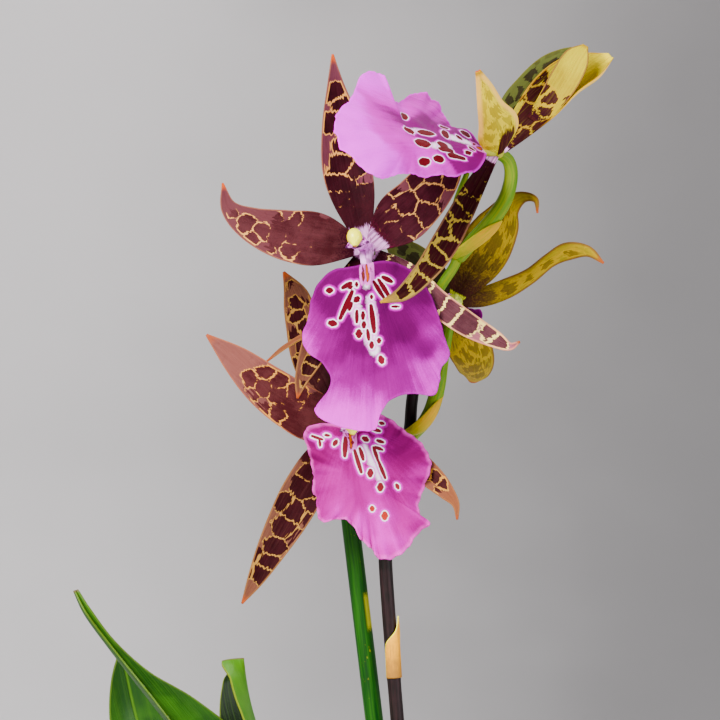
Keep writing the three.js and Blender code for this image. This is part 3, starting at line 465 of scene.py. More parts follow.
def tepalMaterial(name, look):
    v = {**tepalLook, **look}
    material, bench, shader = newMaterial(name)
    place, x, _, edge = bench.attribute("petalPlace")         # mm across, mm along, mm to the margin
    _, across, along, claw = bench.attribute("petalShare")    # -1 to 1 across, 0 to 1 along, how much is claw
    # mm left of the blotched length, how open its net is, bare mm at the margin
    _, left, openness, bare = bench.attribute("petalMarks")
    cell, wide, long, _ = bench.attribute("petalCell")        # mm across and along one cell
    veins = bench.group(veinGroup, {"Vector": place, "Across": 1.5, "Along": 0.06})
    fine = bench.group(veinGroup, {"Vector": place, "Across": 5.0, "Along": 0.25})
    cloud = bench.noise(place, 0.3, 3.0)
    slow = bench.noise(place, 0.09, 2.0)
    crumb = bench.noise(place, 1.5, 3.0, 0.65)
    jitter = (crumb - 0.5) * 0.3
    net = bench.group(netGroup, {"Vector": place, "Cell": cell, "Wander": v["wander"]})
    side = abs(x)
    siteSide = abs(x + net["Across"])
    # a cell as wide as the blade counts as one on its midrib
    half = edge + side
    midrib = (1.0 - bench.ease(wide / half, 1.3, 1.9)) * 20.0
    siteSide = bench.math("MINIMUM", siteSide, half * 0.45 + midrib)
    depth = half - siteSide - bare
    toEnd = left - net["Along"]
    # a cell is blotched when its middle is far enough from the margin and the tip
    blotched = bench.math("GREATER_THAN", depth, 0.0) * bench.math("GREATER_THAN", toEnd, 0.0)
    # the outer half of the outer cells, where the outline runs
    outside = (side - siteSide) / wide
    outside = bench.ease(outside, -0.3, -0.05) * (1.0 - bench.ease(depth / wide, 0.7, 1.0))
    outside = outside * bench.ease(bare, -1.2, 0.0)
    beyond = bench.ease(net["Along"] / long, 0.3, 0.05) * (1.0 - bench.ease(toEnd / long, 0.7, 1.0))
    outer = bench.math("MAXIMUM", outside, beyond)
    opened = bench.ease(openness + (cloud - 0.5) * 1.6, 0.25, 0.85)
    width = bench.math("MAXIMUM", outer * v["outline"], opened * v["seam"])
    seam = net["Seam"] + jitter * 0.5 - width
    # an outer blotch is rounded off and keeps its distance from the margin
    soft = bench.math("MAXIMUM", outer, opened * v["loose"])
    limit = bench.math("MINIMUM", wide, long) * v["round"]
    limit = limit + (1.0 - soft) * 6.0
    cut = net["Far"] + jitter - limit
    cut = bench.math("MAXIMUM", cut, bare * 0.7 + jitter - edge)
    # dark blotches, a pale line round them, and the open ground beyond
    velvet = bench.noise(place, 3.6, 2.0, 0.7)
    tone = slow + (cloud - 0.5) * 0.7
    tone = tone + (velvet - 0.5) * 0.8
    dark = bench.mix(bench.ease(tone, 0.3, 0.7), v["shade"], v["blotch"])
    dark = bench.mix(bench.ease(veins["Vein"], 0.5, 0.7) * v["veil"], dark, v["gap"])
    ground = bench.mix(bench.ease(along, v["tipFrom"], v["tipFrom"] + 0.15), v["gap"], v["tip"])
    ground = bench.mix(bench.ease(veins["Vein"], 0.42, 0.62) * 0.2, ground, v["blotch"])
    ground = bench.mix(bench.ease(cloud, 0.35, 0.65) * 0.3, ground, v["tip"])
    lineShare = 1.0 - bench.ease(seam, -0.08, 0.12)
    lineShare = lineShare * bench.ease(width, 0.03, 0.12)
    base = bench.mix(lineShare, dark, v["line"])
    base = bench.mix(bench.ease(cut, -v["outline"] - 0.1, -v["outline"] + 0.1), base, v["line"])
    base = bench.mix(bench.ease(cut, -0.1, 0.15), base, ground)
    base = bench.mix(blotched * v["strength"], ground, base)
    base = bench.mix(bench.ease(along + jitter, v["footTo"], 0.05), base, v["foot"])
    marginShare = 1.0 - bench.ease(edge + jitter, v["marginWidth"] * 0.4, v["marginWidth"])
    marginShare = marginShare * bench.ease(along, v["marginFrom"], v["marginFrom"] + 0.15)
    base = bench.mix(marginShare * 0.75, base, v["margin"])
    base = bench.mix(bench.ease(along, 0.93, 0.985), base, v["tipEnd"])
    ragged = claw + (fine["Vein"] - 0.5) * 0.7
    clawColour = bench.mix(bench.ease(veins["Vein"], 0.5, 0.6) * 0.6, v["claw"], v["clawStreak"])
    base = bench.mix(bench.ease(ragged, 0.4, 0.6), base, clawColour)
    midrib = 1.0 - bench.ease(abs(across), 0.0, 0.09)
    height = veins["Vein"] * 0.8 + fine["Vein"] * 0.3 + midrib * -0.5
    height = height + bench.ease(seam, 0.6, 0.0) * -0.3
    dress(bench, shader, {"Base Color": base, "Normal": bench.bump(height, 0.5, 0.0004),
        "Roughness": v["rough"] - 0.06 + fine["Grain"] * 0.18, "Specular IOR Level": 0.08, "IOR": 1.3,
        "Subsurface Weight": 0.05, "Subsurface Radius": (0.9, 0.3, 0.2), "Subsurface Scale": 0.0015})
    return material


tepalFinish = {key: tepalMaterial(f"tepal_{key}", look) for key, look in tepalLooks.items()}
print("tepal finishes:", len(tepalFinish))


# lip finish

lipLook = {"deep": (0.0964, 0.0004, 0.0677), "main": (0.2024, 0.0004, 0.1577),
    "light": (0.7411, 0.0004, 0.6596), "rim": (0.95, 0.0004, 0.95), "spot": (0.0919, 0.0031, 0.0081),
    "spotLight": (0.1434, 0.0061, 0.0157), "white": (0.95, 0.7851, 0.95), "ring": (0.6788, 0.0004, 0.5912),
    "callus": (0.3922, 0.0687, 0.0004), "halo": 0.42, "rimWidth": 0.03, "rimShare": 0.08, "veinPower": 0.3,
    "callusEdge": (0.09, 0.011, 0.0243), "flank": (0.6979, 0.1384, 0.5778)}

lipLooks = {"magenta": {},
    "pink": {"deep": (0.1861, 0.0004, 0.0958), "main": (0.3853, 0.0004, 0.2471),
        "light": (0.6923, 0.0004, 0.5381), "rim": (0.95, 0.0766, 0.6334), "spot": (0.1435, 0.0108, 0.0185),
        "spotLight": (0.4035, 0.0264, 0.0139), "rimWidth": 0.05, "rimShare": 0.5},
    "lilac": {"deep": (0.1676, 0.0004, 0.1148), "main": (0.578, 0.0004, 0.4711),
        "light": (0.95, 0.0004, 0.95), "rim": (0.95, 0.0004, 0.95), "spotLight": (0.107, 0.0038, 0.0084),
        "spot": (0.0919, 0.0031, 0.0081), "halo": 0.34, "ring": (0.95, 0.0004, 0.8399), "rimShare": 0.5}}


def lipMaterial(name, look):
    v = {**lipLook, **look}
    material, bench, shader = newMaterial(name)
    place, _, y, fold = bench.attribute("lipPlace")         # mm right, mm down, depth of the folds
    # 0 to 1 outwards, mm outside a spot, mm outside the pale field
    _, rim, spot, pale = bench.attribute("lipTone")
    vein, _, tone, callus = bench.attribute("lipVein")      # spread of the veins, light or dark, callus share
    veins = bench.group(veinGroup, {"Vector": vein, "Across": 2.2, "Along": 1.2})
    fine = bench.group(veinGroup, {"Vector": vein, "Across": 8.0, "Along": 2.0})
    cloud = bench.noise(place, 0.16, 3.0)
    speck = bench.noise(place, 1.1, 3.0, 0.7)
    pores = bench.noise(place, 4.5, 2.0)
    level = tone + (cloud - 0.5) * 0.25
    level = level + (pores - 0.5) * 0.35
    level = level + (0.5 - veins["Vein"]) * v["veinPower"]
    level = level + (0.5 - fine["Vein"]) * (v["veinPower"] * 0.6)
    base = bench.mix(bench.ease(level, 0.0, 0.42), v["deep"], v["main"])
    base = bench.mix(bench.ease(level, 0.38, 0.95), base, v["light"])
    # painted shade: the fold valleys and frill troughs are darkened towards the deep colour
    base = bench.mix(bench.ease(fold, 0.3, 2.4) * 0.6, base, v["deep"])
    rimShare = bench.ease(rim, 1.0 - v["rimWidth"] * 1.6, 1.0 - v["rimWidth"] * 0.2) * v["rimShare"]
    base = bench.mix(rimShare, base, v["rim"])
    # the pale field and the ringed spots
    ragged = pale + (speck - 0.5) * 1.6
    base = bench.mix((1.0 - bench.ease(ragged, -0.6, 0.9)) * 0.9, base, v["white"])
    wavy = spot + (speck - 0.5) * 0.3
    base = bench.mix(bench.ease(wavy, v["halo"] * 3.2, v["halo"]) * 0.7, base, v["ring"])
    base = bench.mix(bench.ease(wavy, v["halo"] * 1.1, v["halo"] * 0.6), base, v["white"])
    # the callus: pale flanks with orange stripes edged in brown
    striped = callus + (speck - 0.5) * 0.5
    callusColour = bench.mix(bench.ease(striped, 1.15, 1.35), v["flank"], v["callusEdge"])
    callusColour = bench.mix(bench.ease(striped, 1.4, 1.6), callusColour, v["callus"])
    base = bench.mix(bench.ease(callus, 0.35, 0.75), base, callusColour)
    spotShare = 1.0 - bench.ease(wavy, -0.08, 0.12)
    spotColour = bench.mix(bench.ease(y, 14.0, 34.0), v["spot"], v["spotLight"])
    base = bench.mix(spotShare, base, spotColour)
    height = veins["Vein"] * 0.8 + fine["Vein"] * 0.5 + pores * 0.25
    height = height + spotShare * -0.35
    dress(bench, shader, {"Base Color": base, "Normal": bench.bump(height, 0.55, 0.0005),
        "Roughness": 0.55 + pores * 0.2, "Subsurface Weight": 0.08, "Subsurface Radius": (0.9, 0.2, 0.8),
        "Subsurface Scale": 0.002, "Specular IOR Level": 0.02, "IOR": 1.2})
    return material


lipFinish = {key: lipMaterial(f"lip_{key}", look) for key, look in lipLooks.items()}
print("lip finishes:", len(lipFinish))


# blades: tepals, bracts and leaves

bladeDetail = {"steps": 100, "across": 16, "thick": 0.55, "rimThin": 0.45, "smallestHalf": 0.35}

netDetail = {
    "net": (0, 0.1, 0.3, 0.5, 0.5, 0.5),       # how open the net is, from foot to tip
    "bare": (-5, -2, 0.4, 1.0, 1.4, 1.6),      # mm of bare ground at the margin, from foot to tip
    "to": 0.85,                                # where the blotches end
    "cell": (5.4, 5.4),                        # mm across and along one cell of the net
    "claw": 0.05, "clawSide": 0.0, "clawWide": 1.0,
}


def eased(x, low, high):
    t = np.clip((x - low) / (high - low), 0, 1)
    return t * t * (3 - 2 * t)


# path and widths in mm; keel folds the blade along its midrib and roll curls its margins
def bladeGrid(path, width, face, steps, across, keel=(0,), roll=(0.4,), rollFar=None, waves=(0.0, 3.0, 0.0)):
    t = np.linspace(0, 1, steps + 1)
    middle = curveAt(path, t)
    tangent = unitRows(np.gradient(middle, axis=0))
    side = unitRows(np.cross(tangent, blendRows(face, t)))
    up = np.cross(side, tangent)
    half = np.maximum(alongValue(width, t), bladeDetail["smallestHalf"])
    fold = alongValue(keel, t)
    s = np.linspace(1, -1, 2 * across + 1)             # this way round, the sheet's front is the face side
    s = np.sign(s) * (1 - (1 - np.abs(s)) ** 1.25)     # closer rows near the margins
    grid = np.zeros((steps + 1, len(s), 3))
    lengths = np.concatenate([[0], np.cumsum(np.linalg.norm(np.diff(middle, axis=0), axis=1))])
    size, count, phase = waves
    for j, share in enumerate(s):
        reach = abs(share)
        curl = np.maximum(alongValue(roll if share < 0 or rollFar is None else rollFar, t), 0.01)
        out = half * (np.sin(fold + curl * reach) - np.sin(fold)) / curl
        lift = half * (np.cos(fold) - np.cos(fold + curl * reach)) / curl
        turn = 2 * math.pi * count * t + phase + (1.9 if share < 0 else 0)
        lift = lift + size * reach ** 2 * np.sin(turn) * np.minimum(1, half / max(half.max(), 1e-6) * 1.4)
        grid[:, j] = middle + side * (np.sign(share) * out)[:, None] + up * lift[:, None]
    place = np.zeros_like(grid)
    place[..., 0] = half[:, None] * s[None]
    place[..., 1] = lengths[:, None]
    tipward = (lengths[-1] - lengths)[:, None]
    place[..., 2] = np.minimum(half[:, None] * (1 - np.abs(s))[None], tipward)
    share = np.zeros_like(grid)
    share[..., 0] = s[None]
    share[..., 1] = t[:, None]
    return grid, place, share


# mm left of the blotched length, openness of the net, bare mm at the margin, and the share of claw
def netFields(place, share, v, seed):
    x, y, t = place[..., 0], place[..., 1], share[..., 1]
    left = y.max() * v["to"] - y + 1.5 * softNoise(x * 0.2 + seed, y * 0.2, seed + 5)
    spread = lambda values: np.interp(t, np.linspace(0, 1, len(values)), values)
    off = np.abs(share[..., 0] - v["clawSide"])
    claw = 1.4 * (1 - t / max(v["claw"], 1e-3)) * eased(-off, -v["clawWide"] - 0.15, -v["clawWide"] + 0.15)
    return left, spread(v["net"]), spread(v["bare"]), np.clip(claw, -1, 1)


def bladePiece(name, spec, centre, front, back, detail, seed):
    shape = {key: spec[key] for key in ("path", "width", "face", "keel", "roll", "rollFar", "waves")
        if key in spec}
    grid, place, share = bladeGrid(**shape, steps=detail["steps"], across=detail["across"])
    net = {**netDetail, **spec.get("marks", {})}
    *marks, share[..., 2] = netFields(place, share, net, seed + 1)
    cells = np.broadcast_to(rows((*net["cell"], 1)), grid.shape)
    margin = np.abs(share[..., 0])
    thickness = detail["thick"] * (1 - bladeDetail["rimThin"] * margin ** 6)
    place[..., 1] += seed * 53.0
    return sheetPiece(name, (grid + rows(centre)) * mm, thickness * mm, [front, back],
                      {"petalPlace": place, "petalShare": share, "petalMarks": np.stack(marks, -1),
                          "petalCell": cells})


# blooms: every point is right, back and up from the bloom's centre, in mm

towards = (0, -1, 0)

# a fold runs from x, y to x, y, with the height and width of its ridge, or of its valley where it is negative
blooms = {
    "A": {"node": "bloom_a", "heart": "lime", "centre": (32, 1, 526),
        "tepals": {
            "NearSepal": {"path": [(-1, -2, -1.5), (-7.5, -9, -12.5), (-12.5, -16, -22), (-18, -22, -32),
                    (-24, -28, -40.5), (-31, -32, -47.5), (-38.5, -35, -50.5)],
                "width": (1.8, 3.4, 4.2, 4.6, 3.8, 2.6, 0.3), "face": [towards], "look": ("russet", "olive"),
                "marks": {"net": (0.2, 0.7, 0.9, 0.9), "bare": (-4, -1, 0.1, 0.4), "to": 0.93,
                    "cell": (11, 6.2)}},
            "NearPetal": {"path": [(0.3, -2, -1.5), (0.5, -9, 2.1), (0.6, -16, 6.5), (-2.35, -24, 11.8),
                    (-4.7, -30, 17.8), (-7.3, -36, 23.3)], "width": (2, 6.6, 7.2, 4.8, 3, 0.9),
                "face": [(-0.3, 0.6, 0.7)], "roll": (0.6,), "look": ("maroon", "gold"),
                "marks": {"net": (0.6, 0.6), "bare": (0, 0.6, 1.2), "to": 0.9, "cell": (5, 7), "claw": 0.56,
                    "clawSide": -0.4, "clawWide": 0.4}},
            "FarPetal": {"path": [(1, 2, 1.5), (5.8, 11, 13.6), (11.9, 16, 22), (17.8, 21, 29),
                    (23.3, 25, 33.6), (29.5, 29, 37.2)], "width": (2, 5.4, 5.4, 4.4, 2.6, 0.3),
                "face": [(-0.3, 0.9, 0.3)], "roll": (0.5,), "look": ("maroon", "olive"),
                "marks": {"net": (0.7, 0.7), "bare": (0.2, 0.7), "to": 0.92, "cell": (4, 8)}},
            "Dorsal": {"path": [(1.5, 0, 0.5), (9.7, 0, 9.3), (16.6, 1, 15.8), (23.6, 2, 21.8),
                    (31.4, 5, 26.6), (38.5, 7, 31.8)], "width": (2, 5.8, 8.4, 9, 7.6, 1.5),
                "face": [(-0.1, -1, 0.2)], "roll": (0.6,), "rollFar": (0.6, 1.2, 1.8, 1.8),
                "look": ("sunlit", "gold"),
                "marks": {"net": (0.6, 0.9, 0.9), "bare": (-2, 0, 0.6), "to": 0.62, "cell": (6, 6.5)}},
            "DorsalFold": {"path": [(12.5, -0.5, 9.5), (18.5, -2.2, 17), (23, -2.6, 24), (26.5, -1.6, 30.5),
                    (29.5, 0, 34.8)], "width": (3, 4.6, 5.2, 4.4, 1), "face": [(-0.1, -1, 0.2)],
                "roll": (0.5,), "look": ("fold", "gold"),
                "marks": {"net": (0.8, 0.8), "bare": (-1, 0, 0.6), "to": 0.46, "cell": (4.6, 5.4)}},
            "FarSepal": {"path": [(-1, 2, -0.5), (-9, 14, 0), (-17, 24, 1), (-26, 32, 2.5), (-34, 39, 4.5)],
                "width": (1.8, 4.2, 4.4, 3, 0.3), "face": [(0, -0.8, 0.6)], "look": ("maroon", "olive")}},
        "lip": {"root": (-3.5, -5, -0.5), "down": (-0.8, -0.56, 0.16), "face": (0.1, -0.6, 0.8),
            "middle": (13, 40, 4),
            "outline": [(-1, -0.5, 0), (15.5, 11.5, 1), (21, 20.5, 0), (24, 30, -1), (26, 39.5, -2),
                (27.5, 46, -1), (31.5, 53.5, -2), (34, 60.5, -2), (30, 67, 0), (24, 70.5, 1), (18.5, 70.5, 2),
                (13, 69, 3), (5.5, 64.5, 4), (-0.5, 58.5, 5), (-10, 51.5, 5), (-21, 44, 6), (-27, 35, 6),
                (-24, 32, 5), (-15.5, 31.5, 2), (-21, 24.5, 1), (-30.5, 15, 0), (-33, 8.5, 0), (-29, 6, 0),
                (-21, 7.5, 0), (-12.5, 9.5, 1), (-9, 3, 1)], "folds": [], "frill": (0.5, 19, 0.15),
            "ragged": 0.12, "look": "lilac",
            "tones": [(0, 8, 9, -0.1), (3, 22, 8, -0.1), (2, 38, 7, 0.0), (6, 48, 6, 0.4), (18, 44, 7, 0.4),
                (-15, 14, 8, 0.3), (-12, 36, 7, 0.6), (26, 36, 6, 0.5), (22, 64, 8, 1.15), (2, 60, 7, 0.95),
                (-22, 38, 6, 1.2), (30, 54, 6, 0.9)],
            "pale": [(2, 14, 16, 3, 15), (12, 27, 12, 3, 25), (6, 32, 8, 3, 10)],
            "spots": [(-3.5, 33.9, 6.6, 2.7, 64), (7.5, 37.8, 4.2, 4.9, 20), (5.9, 30.1, 8.5, 3.6, 20),
                (13.7, 35.2, 7.3, 4.6, 20), (-4.2, 16.9, 4.3, 3.2, 21), (2.2, 20.1, 6.7, 3.0, 63),
                (0.5, 13.1, 3.3, 3.2, 20), (-5.0, 7.4, 5.5, 3.3, 20), (10.9, 25.7, 5.3, 3.8, 20),
                (13.4, 25.4, 8.4, 2.6, 20), (21.5, 37.1, 5.2, 2.6, 20), (19.2, 30.8, 5.2, 2.6, 20),
                (15.1, 22.6, 7.4, 2.6, 20), (14.5, 19.5, 6.4, 2.2, 20), (4.5, 9.5, 4.0, 2.4, 10),
                (9.0, 13.5, 4.5, 2.2, 30)]}},
    "B": {"node": "bloom_b", "heart": "lilac", "centre": (-11, 2, 493.5),
        "tepals": {
            "Dorsal": {"path": [(-0.5, -0.5, 1), (-4, 1, 16.5), (-6.5, 3, 28), (-8.5, 2, 43), (-10, -2, 54),
                    (-11, -6, 64)], "width": (2, 7.2, 8.3, 6.2, 3, 0.3), "face": [towards],
                "waves": (0.5, 2, 0.3), "look": ("maroon", "olive"),
                "marks": {"net": (0, 0.25, 0.6, 0.7, 0.8, 1, 1), "bare": (-5, -3, -0.5, 0.3, 0.5, 0.8, 1),
                    "to": 0.88, "cell": (10, 6.2), "claw": 0.12}},
            "LeftPetal": {"path": [(-1.5, -0.5, 0.5), (-15, -5, 3), (-26.5, -7.5, 4.5), (-37.5, -7, 8),
                    (-45, -3, 13.5), (-47.5, 2, 22)], "width": (2.2, 8.6, 8.4, 5.8, 2.9, 0.3),
                "face": [towards], "roll": (0.3,), "waves": (0.4, 2, 0.5), "look": ("rose", "olive"),
                "marks": {"net": (0, 0.1, 0.3, 0.3, 0.2, 0.2), "bare": (-5, -2, 0.5, 1, 1.6, 2), "to": 0.84,
                    "cell": (5.4, 5.2)}},
            "RightPetal": {"path": [(1.5, 0, 1), (10, -3, 9), (17.5, -3, 16), (24.5, 0, 25), (29, 5, 33),
                    (32, 10, 39.5)], "width": (2.2, 8.6, 8.6, 7, 3.6, 0.3), "face": [towards], "roll": (0.3,),
                "waves": (0.4, 2, 0.5), "look": ("maroonNet", "olive"),
                "marks": {"net": (0, 0.45, 0.9, 1, 1, 0.9), "bare": (-5, -3, -0.8, 0.3, 0.6, 0.8), "to": 0.92,
                    "cell": (6.8, 6.6), "claw": 0.12}},
            "RightSepal": {"path": [(1, 0.5, -0.5), (13, 2, -8.5), (23.5, 0, -17.5), (33, -4, -24.5),
                    (42, -7, -29.5), (47, -8, -32), (50.5, -6, -30.5)],
                "width": (1.8, 4.6, 4.4, 4.2, 3, 1.4, 0.3), "face": [towards], "look": ("plum", "olive"),
                "marks": {"net": (0.9, 0.9), "bare": (-2, -0.6, 0, 0.2), "to": 0.93, "cell": (11, 6.4)}},
            "LeftSepal": {"path": [(-1, 0.5, -1), (-7.5, 1, -13.5), (-13.5, -0.5, -24), (-17.5, -2, -34),
                    (-21, -5, -42.5), (-22.5, -9, -49)], "width": (1.8, 4.8, 5.2, 4.6, 2.6, 0.3),
                "face": [towards], "roll": (0.5,), "look": ("maroonBrown", "olive"),
                "marks": {"net": (0.4, 0.8, 0.9), "bare": (-2, 0, 0.4), "to": 0.88, "cell": (6.5, 5)}}},
        "lip": {"root": (0, -7, -4.5), "down": (0, 0, -1), "face": towards, "middle": (2.5, 24, 6),
            "outline": [(0, 0.5, 2), (-5.5, 1.5, 3), (-11, 2.5, 2), (-15.5, 6.5, 0), (-18, 12, -3),
                (-19, 18, -3), (-21, 24, -4), (-19.5, 29, -3), (-14, 33.5, 3), (-11.5, 38.5, 7),
                (-13.5, 44, 8.2), (-16.8, 48.2, 9.2), (-14, 51.5, 10), (-7.5, 54, 12), (-1.5, 55, 13),
                (3, 54.5, 12), (4.5, 50, 11), (8, 45, 10), (14.5, 43, 8), (22, 43.5, 4), (24, 39, 3),
                (24.5, 35, 1), (27.5, 30.5, -4), (26, 25, -3), (24, 18, -3.5), (21.5, 11, -4), (17, 4, -3),
                (11, 0.5, 0), (5.5, -0.5, 2)],
            "folds": [(-4.6, 26, 2, 42, -0.5, 3.5), (8, 16, 20, 30, -1.8, 3.5), (8, 33, 22, 40, 1.5, 4.0),
                (-14, 44, -2, 46, 1.2, 5.0), (-6, 4, -10, 20, -0.8, 2.5), (-1.5, 1, -1.5, 7.5, 1.2, 0.8),
                (1.2, 1, 1.2, 7.5, 1.2, 0.8), (3.5, 5, 8, 14, -0.8, 1.6)], "frill": (0.45, 17, 0.15),
            "ragged": 0.08, "look": "magenta",
            # these tones are lip B's own colour zones, partly painted shade along the fold valleys and
            # painted light on the ridges beside them
            "tones": [(0, 4, 8, 0.0), (-12, 6, 5, 0.05), (-18, 18, 4, 0.5), (-20, 27, 4, 0.7),
                (-10, 16, 5, 0.05), (2, 26, 9, 0.05), (17, 9, 5, 0.02), (19, 17, 3, 0.3), (13, 22, 3, 0.0),
                (24, 23, 5, 0.55), (19, 28, 3, 0.2), (27, 30, 5, 0.7), (12, 30, 3, 0.3), (10, 38, 4, 0.3),
                (17, 36, 5, 0.6), (22, 40, 5, 0.65), (-8, 35, 6, 0.35), (2, 35, 4, 0.15), (-12, 26, 4, 0.3),
                (-7, 29, 3, 0.0), (0, 43, 7, 0.6), (-12, 44, 5, 0.6), (-14, 50, 6, 1.0), (-3, 53, 7, 0.95),
                (8, 44, 5, 0.45)],
            "pale": [(-3.0, 16.5, 8.0, 3.2, 10), (1.5, 24.5, 12.0, 4.0, 16), (5, 32, 3.2, 2.6, 20),
                (0, 4, 9, 2.6, 0), (2.0, 17.0, 12.0, 2.6, 8)],
            "spots": [(-11.9, 9.2, 2.6, 2.3, 90), (-6.3, 7.6, 4.3, 1.7, -60), (-5.0, 8.2, 2.0, 1.3, -60),
                (-6.4, 14.0, 10.8, 1.8, -24), (-3.0, 7.3, 2.0, 1.3, 0), (-3.0, 12.2, 2.6, 2.3, -40),
                (-5.0, 14.5, 3.3, 1.3, -20), (6.9, 5.6, 4.3, 1.7, 60), (5.9, 8.6, 7.9, 1.7, 32),
                (4.0, 9.0, 7.1, 1.5, 32), (1.8, 11.4, 1.7, 1.3, 0), (9.6, 14.5, 3.0, 1.0, 90),
                (-10.9, 20.0, 3.3, 2.3, 80), (-3.0, 17.8, 4.6, 1.3, 0), (-1.0, 17.5, 3.0, 1.5, 0),
                (2.1, 18.5, 9.8, 1.8, 7), (-0.7, 20.5, 2.6, 1.7, 0), (0.7, 23.8, 4.0, 1.3, 8),
                (-2.3, 23.4, 3.0, 2.6, 0), (1.8, 27.1, 2.6, 1.8, 0), (4.2, 25.7, 2.0, 1.7, 0),
                (5.0, 32.0, 3.0, 2.3, 20)]}},
    "C": {"node": "bloom_c", "heart": "lilac", "centre": (-17, 9, 434.5),
        "tepals": {
            "LeftPetal": {"path": [(-1, -0.5, 0.5), (-10, -2, 3), (-18, -4, 7.3), (-27.6, -6, 14.2),
                    (-37.2, -9, 22.8), (-46.5, -12, 30.8)], "width": (2.2, 8, 8.4, 7.4, 4.8, 0.4),
                "face": [towards], "roll": (0.3,), "look": ("rustPink", "olive"),
                "marks": {"net": (0, 0.12, 0.35, 0.5, 0.5, 0.5), "bare": (-5, -3, 0, 0.8, 1.3, 1.8),
                    "to": 0.66, "cell": (6, 5.8)}},
            "Dorsal": {"path": [(-0.5, 0.5, 1), (-6.5, 5.5, 13), (-12, 9, 24), (-15.5, 10, 35),
                    (-17.5, 9, 44), (-21.5, 6, 52)], "width": (2.2, 7, 7.2, 5.6, 4.4, 0.4), "face": [towards],
                "roll": (0.3,), "look": ("maroonBrown", "olive"),
                "marks": {"net": (0, 0.2, 0.6, 0.8, 0.8), "bare": (-5, -1, 0.4, 0.7, 1), "to": 0.9,
                    "cell": (6, 5)}},
            "RightPetal": {"path": [(0.5, 0.5, 1), (6, 1, 12.5), (5, 2, 22), (-2.5, 1, 28.5),
                    (-12, -0.5, 30.5), (-20, -1, 27), (-27, -3, 22)],
                "width": (2.2, 6.6, 6.2, 5, 3.6, 2.2, 0.3),
                "face": [(0, -1, 0), (0, -1, 0.3), (0, -0.5, 0.9), (0, -0.2, 1), (0, -0.2, 1)],
                "roll": (0.5,), "look": ("apricot", "cream"),
                "marks": {"net": (0.2, 0.5, 0.6), "bare": (-3, 0.4, 0.9), "to": 0.75, "cell": (5, 5)}},
            "LeftSepal": {"path": [(-0.5, 0, -1), (-8, -2, -10), (-14.5, -5, -20.5), (-20, -7, -30.5),
                    (-25.5, -9, -40.5), (-30.5, -9, -50), (-35, -7, -58)],
                "width": (2, 6, 7.1, 6.5, 4.9, 2.8, 0.3), "face": [towards], "roll": (0.3,),
                "look": ("maroonBrown", "olive"),
                "marks": {"net": (0.1, 0.5, 0.8, 0.8, 0.8), "bare": (-5, -2, -0.8, -0.4, -0.2), "to": 0.9,
                    "cell": (8.4, 6.6)}},
            "RightSepal": {"path": [(1, 0, -0.5), (12, 0, -5), (20.5, -1, -10.5), (28, -4, -16.5),
                    (32.5, -8, -21), (35.5, -11, -25), (36, -12, -30)],
                "width": (2, 4.8, 4.8, 4, 2.8, 1.3, 0.3), "face": [towards], "look": ("apricot", "olive"),
                "marks": {"net": (0.3, 0.6, 0.7), "bare": (-2, 0.3, 0.6), "to": 0.8, "cell": (4, 5)}}},
        "lip": {"root": (0.5, -7, -0.5), "down": (0, -0.05, -1), "face": (0, -1, 0.05),
            "middle": (5, 16.5, 5),
            "outline": [(0, -0.5, 2), (-6.5, -2, 2), (-13.5, -1, 0), (-15, 2.5, -1), (-13.5, 7.5, -2),
                (-12.5, 13, -3), (-12, 20, -3), (-11, 27, -2), (-9, 30.5, 0), (-3.5, 29.5, 3), (0.5, 31, 5),
                (4, 36.5, 6), (7.5, 39.5, 5), (9.5, 42.5, 6), (14, 42.5, 6), (19, 39.5, 5), (22, 35, 3),
                (26.5, 31, 4), (23.5, 28.5, 2), (23, 24, 0), (25, 18.5, -2), (27, 12, -2), (26, 7.5, -2),
                (23, 3.5, -2), (18.5, 0.5, -1), (15, -2.5, 0), (10, -5, 1), (5, -3.5, 2)],
            "folds": [(0, 12, 8, 34, -1.5, 2.6), (12, 8, 17, 30, -1.2, 2.6), (4, 6, 10, 22, 0.9, 2.0),
                (-9, 8, -6, 26, 1.0, 3.0)], "frill": (1.6, 25, 0.5), "ragged": 0.2, "look": "pink",
            "tones": [(2, 4, 7, 0.0), (4, 14, 7, 0.3), (-9, 6, 5, 0.1), (-9, 20, 5, 0.2), (20, 4, 7, 0.05),
                (24, 16, 4, 0.35), (17, 22, 4, 0.15), (-4, 27, 4, 0.55), (2, 24, 3, 0.2), (8, 31, 6, 0.7),
                (20, 32, 5, 0.35), (14, 40, 5, 0.6)], "pale": [(7.5, 11.5, 14.0, 1.6, 25)],
            "spots": [(-10.6, 2.8, 4.6, 1.2, 73), (-9.7, 4.5, 2.7, 1.0, 11), (-7.3, 2.0, 2.3, 1.0, 70),
                (-4.6, 4.5, 2.6, 1.7, -30), (-1.4, 5.9, 6.9, 1.7, -2), (2.9, 10.6, 8.4, 1.5, 18),
                (4.1, 8.2, 4.8, 1.3, 17), (8.6, 8.2, 5.5, 1.3, 18), (10.6, 13.4, 6.7, 1.3, 22),
                (6.9, 14.5, 3.0, 2.0, 0), (10.1, 19.1, 3.0, 2.3, 0), (15.8, 18.8, 2.3, 1.5, 30),
                (7.6, 26.1, 2.0, 2.0, 0), (11.6, 28.5, 3.0, 2.3, 0), (9.6, 6.3, 3.3, 1.2, 70),
                (5.3, 3.3, 2.6, 2.0, 60), (10.1, 4.0, 3.0, 1.2, 75), (10.6, -2.0, 2.3, 1.3, 75),
                (8.9, 0.3, 3.3, 1.3, 75), (1.0, 4.5, 1.3, 1.3, 0)]}},
    "D": {"node": "bloom_d", "heart": "pale", "centre": (18.5, 22, 476.5),
        "tepals": {
            "UpperPetal": {"path": [(0.5, 0, 1), (5, -2, 9.5), (10, -4, 17.5), (15, -4, 26), (18.5, -3, 32),
                    (23, -5, 35), (27, -10, 34), (27.5, -14, 29.5)],
                "width": (2, 7.4, 9, 7.4, 4.2, 2, 1, 0.3), "face": [(0.1, 1, 0.1)],
                "look": ("maroonNet", "oliveGold"),
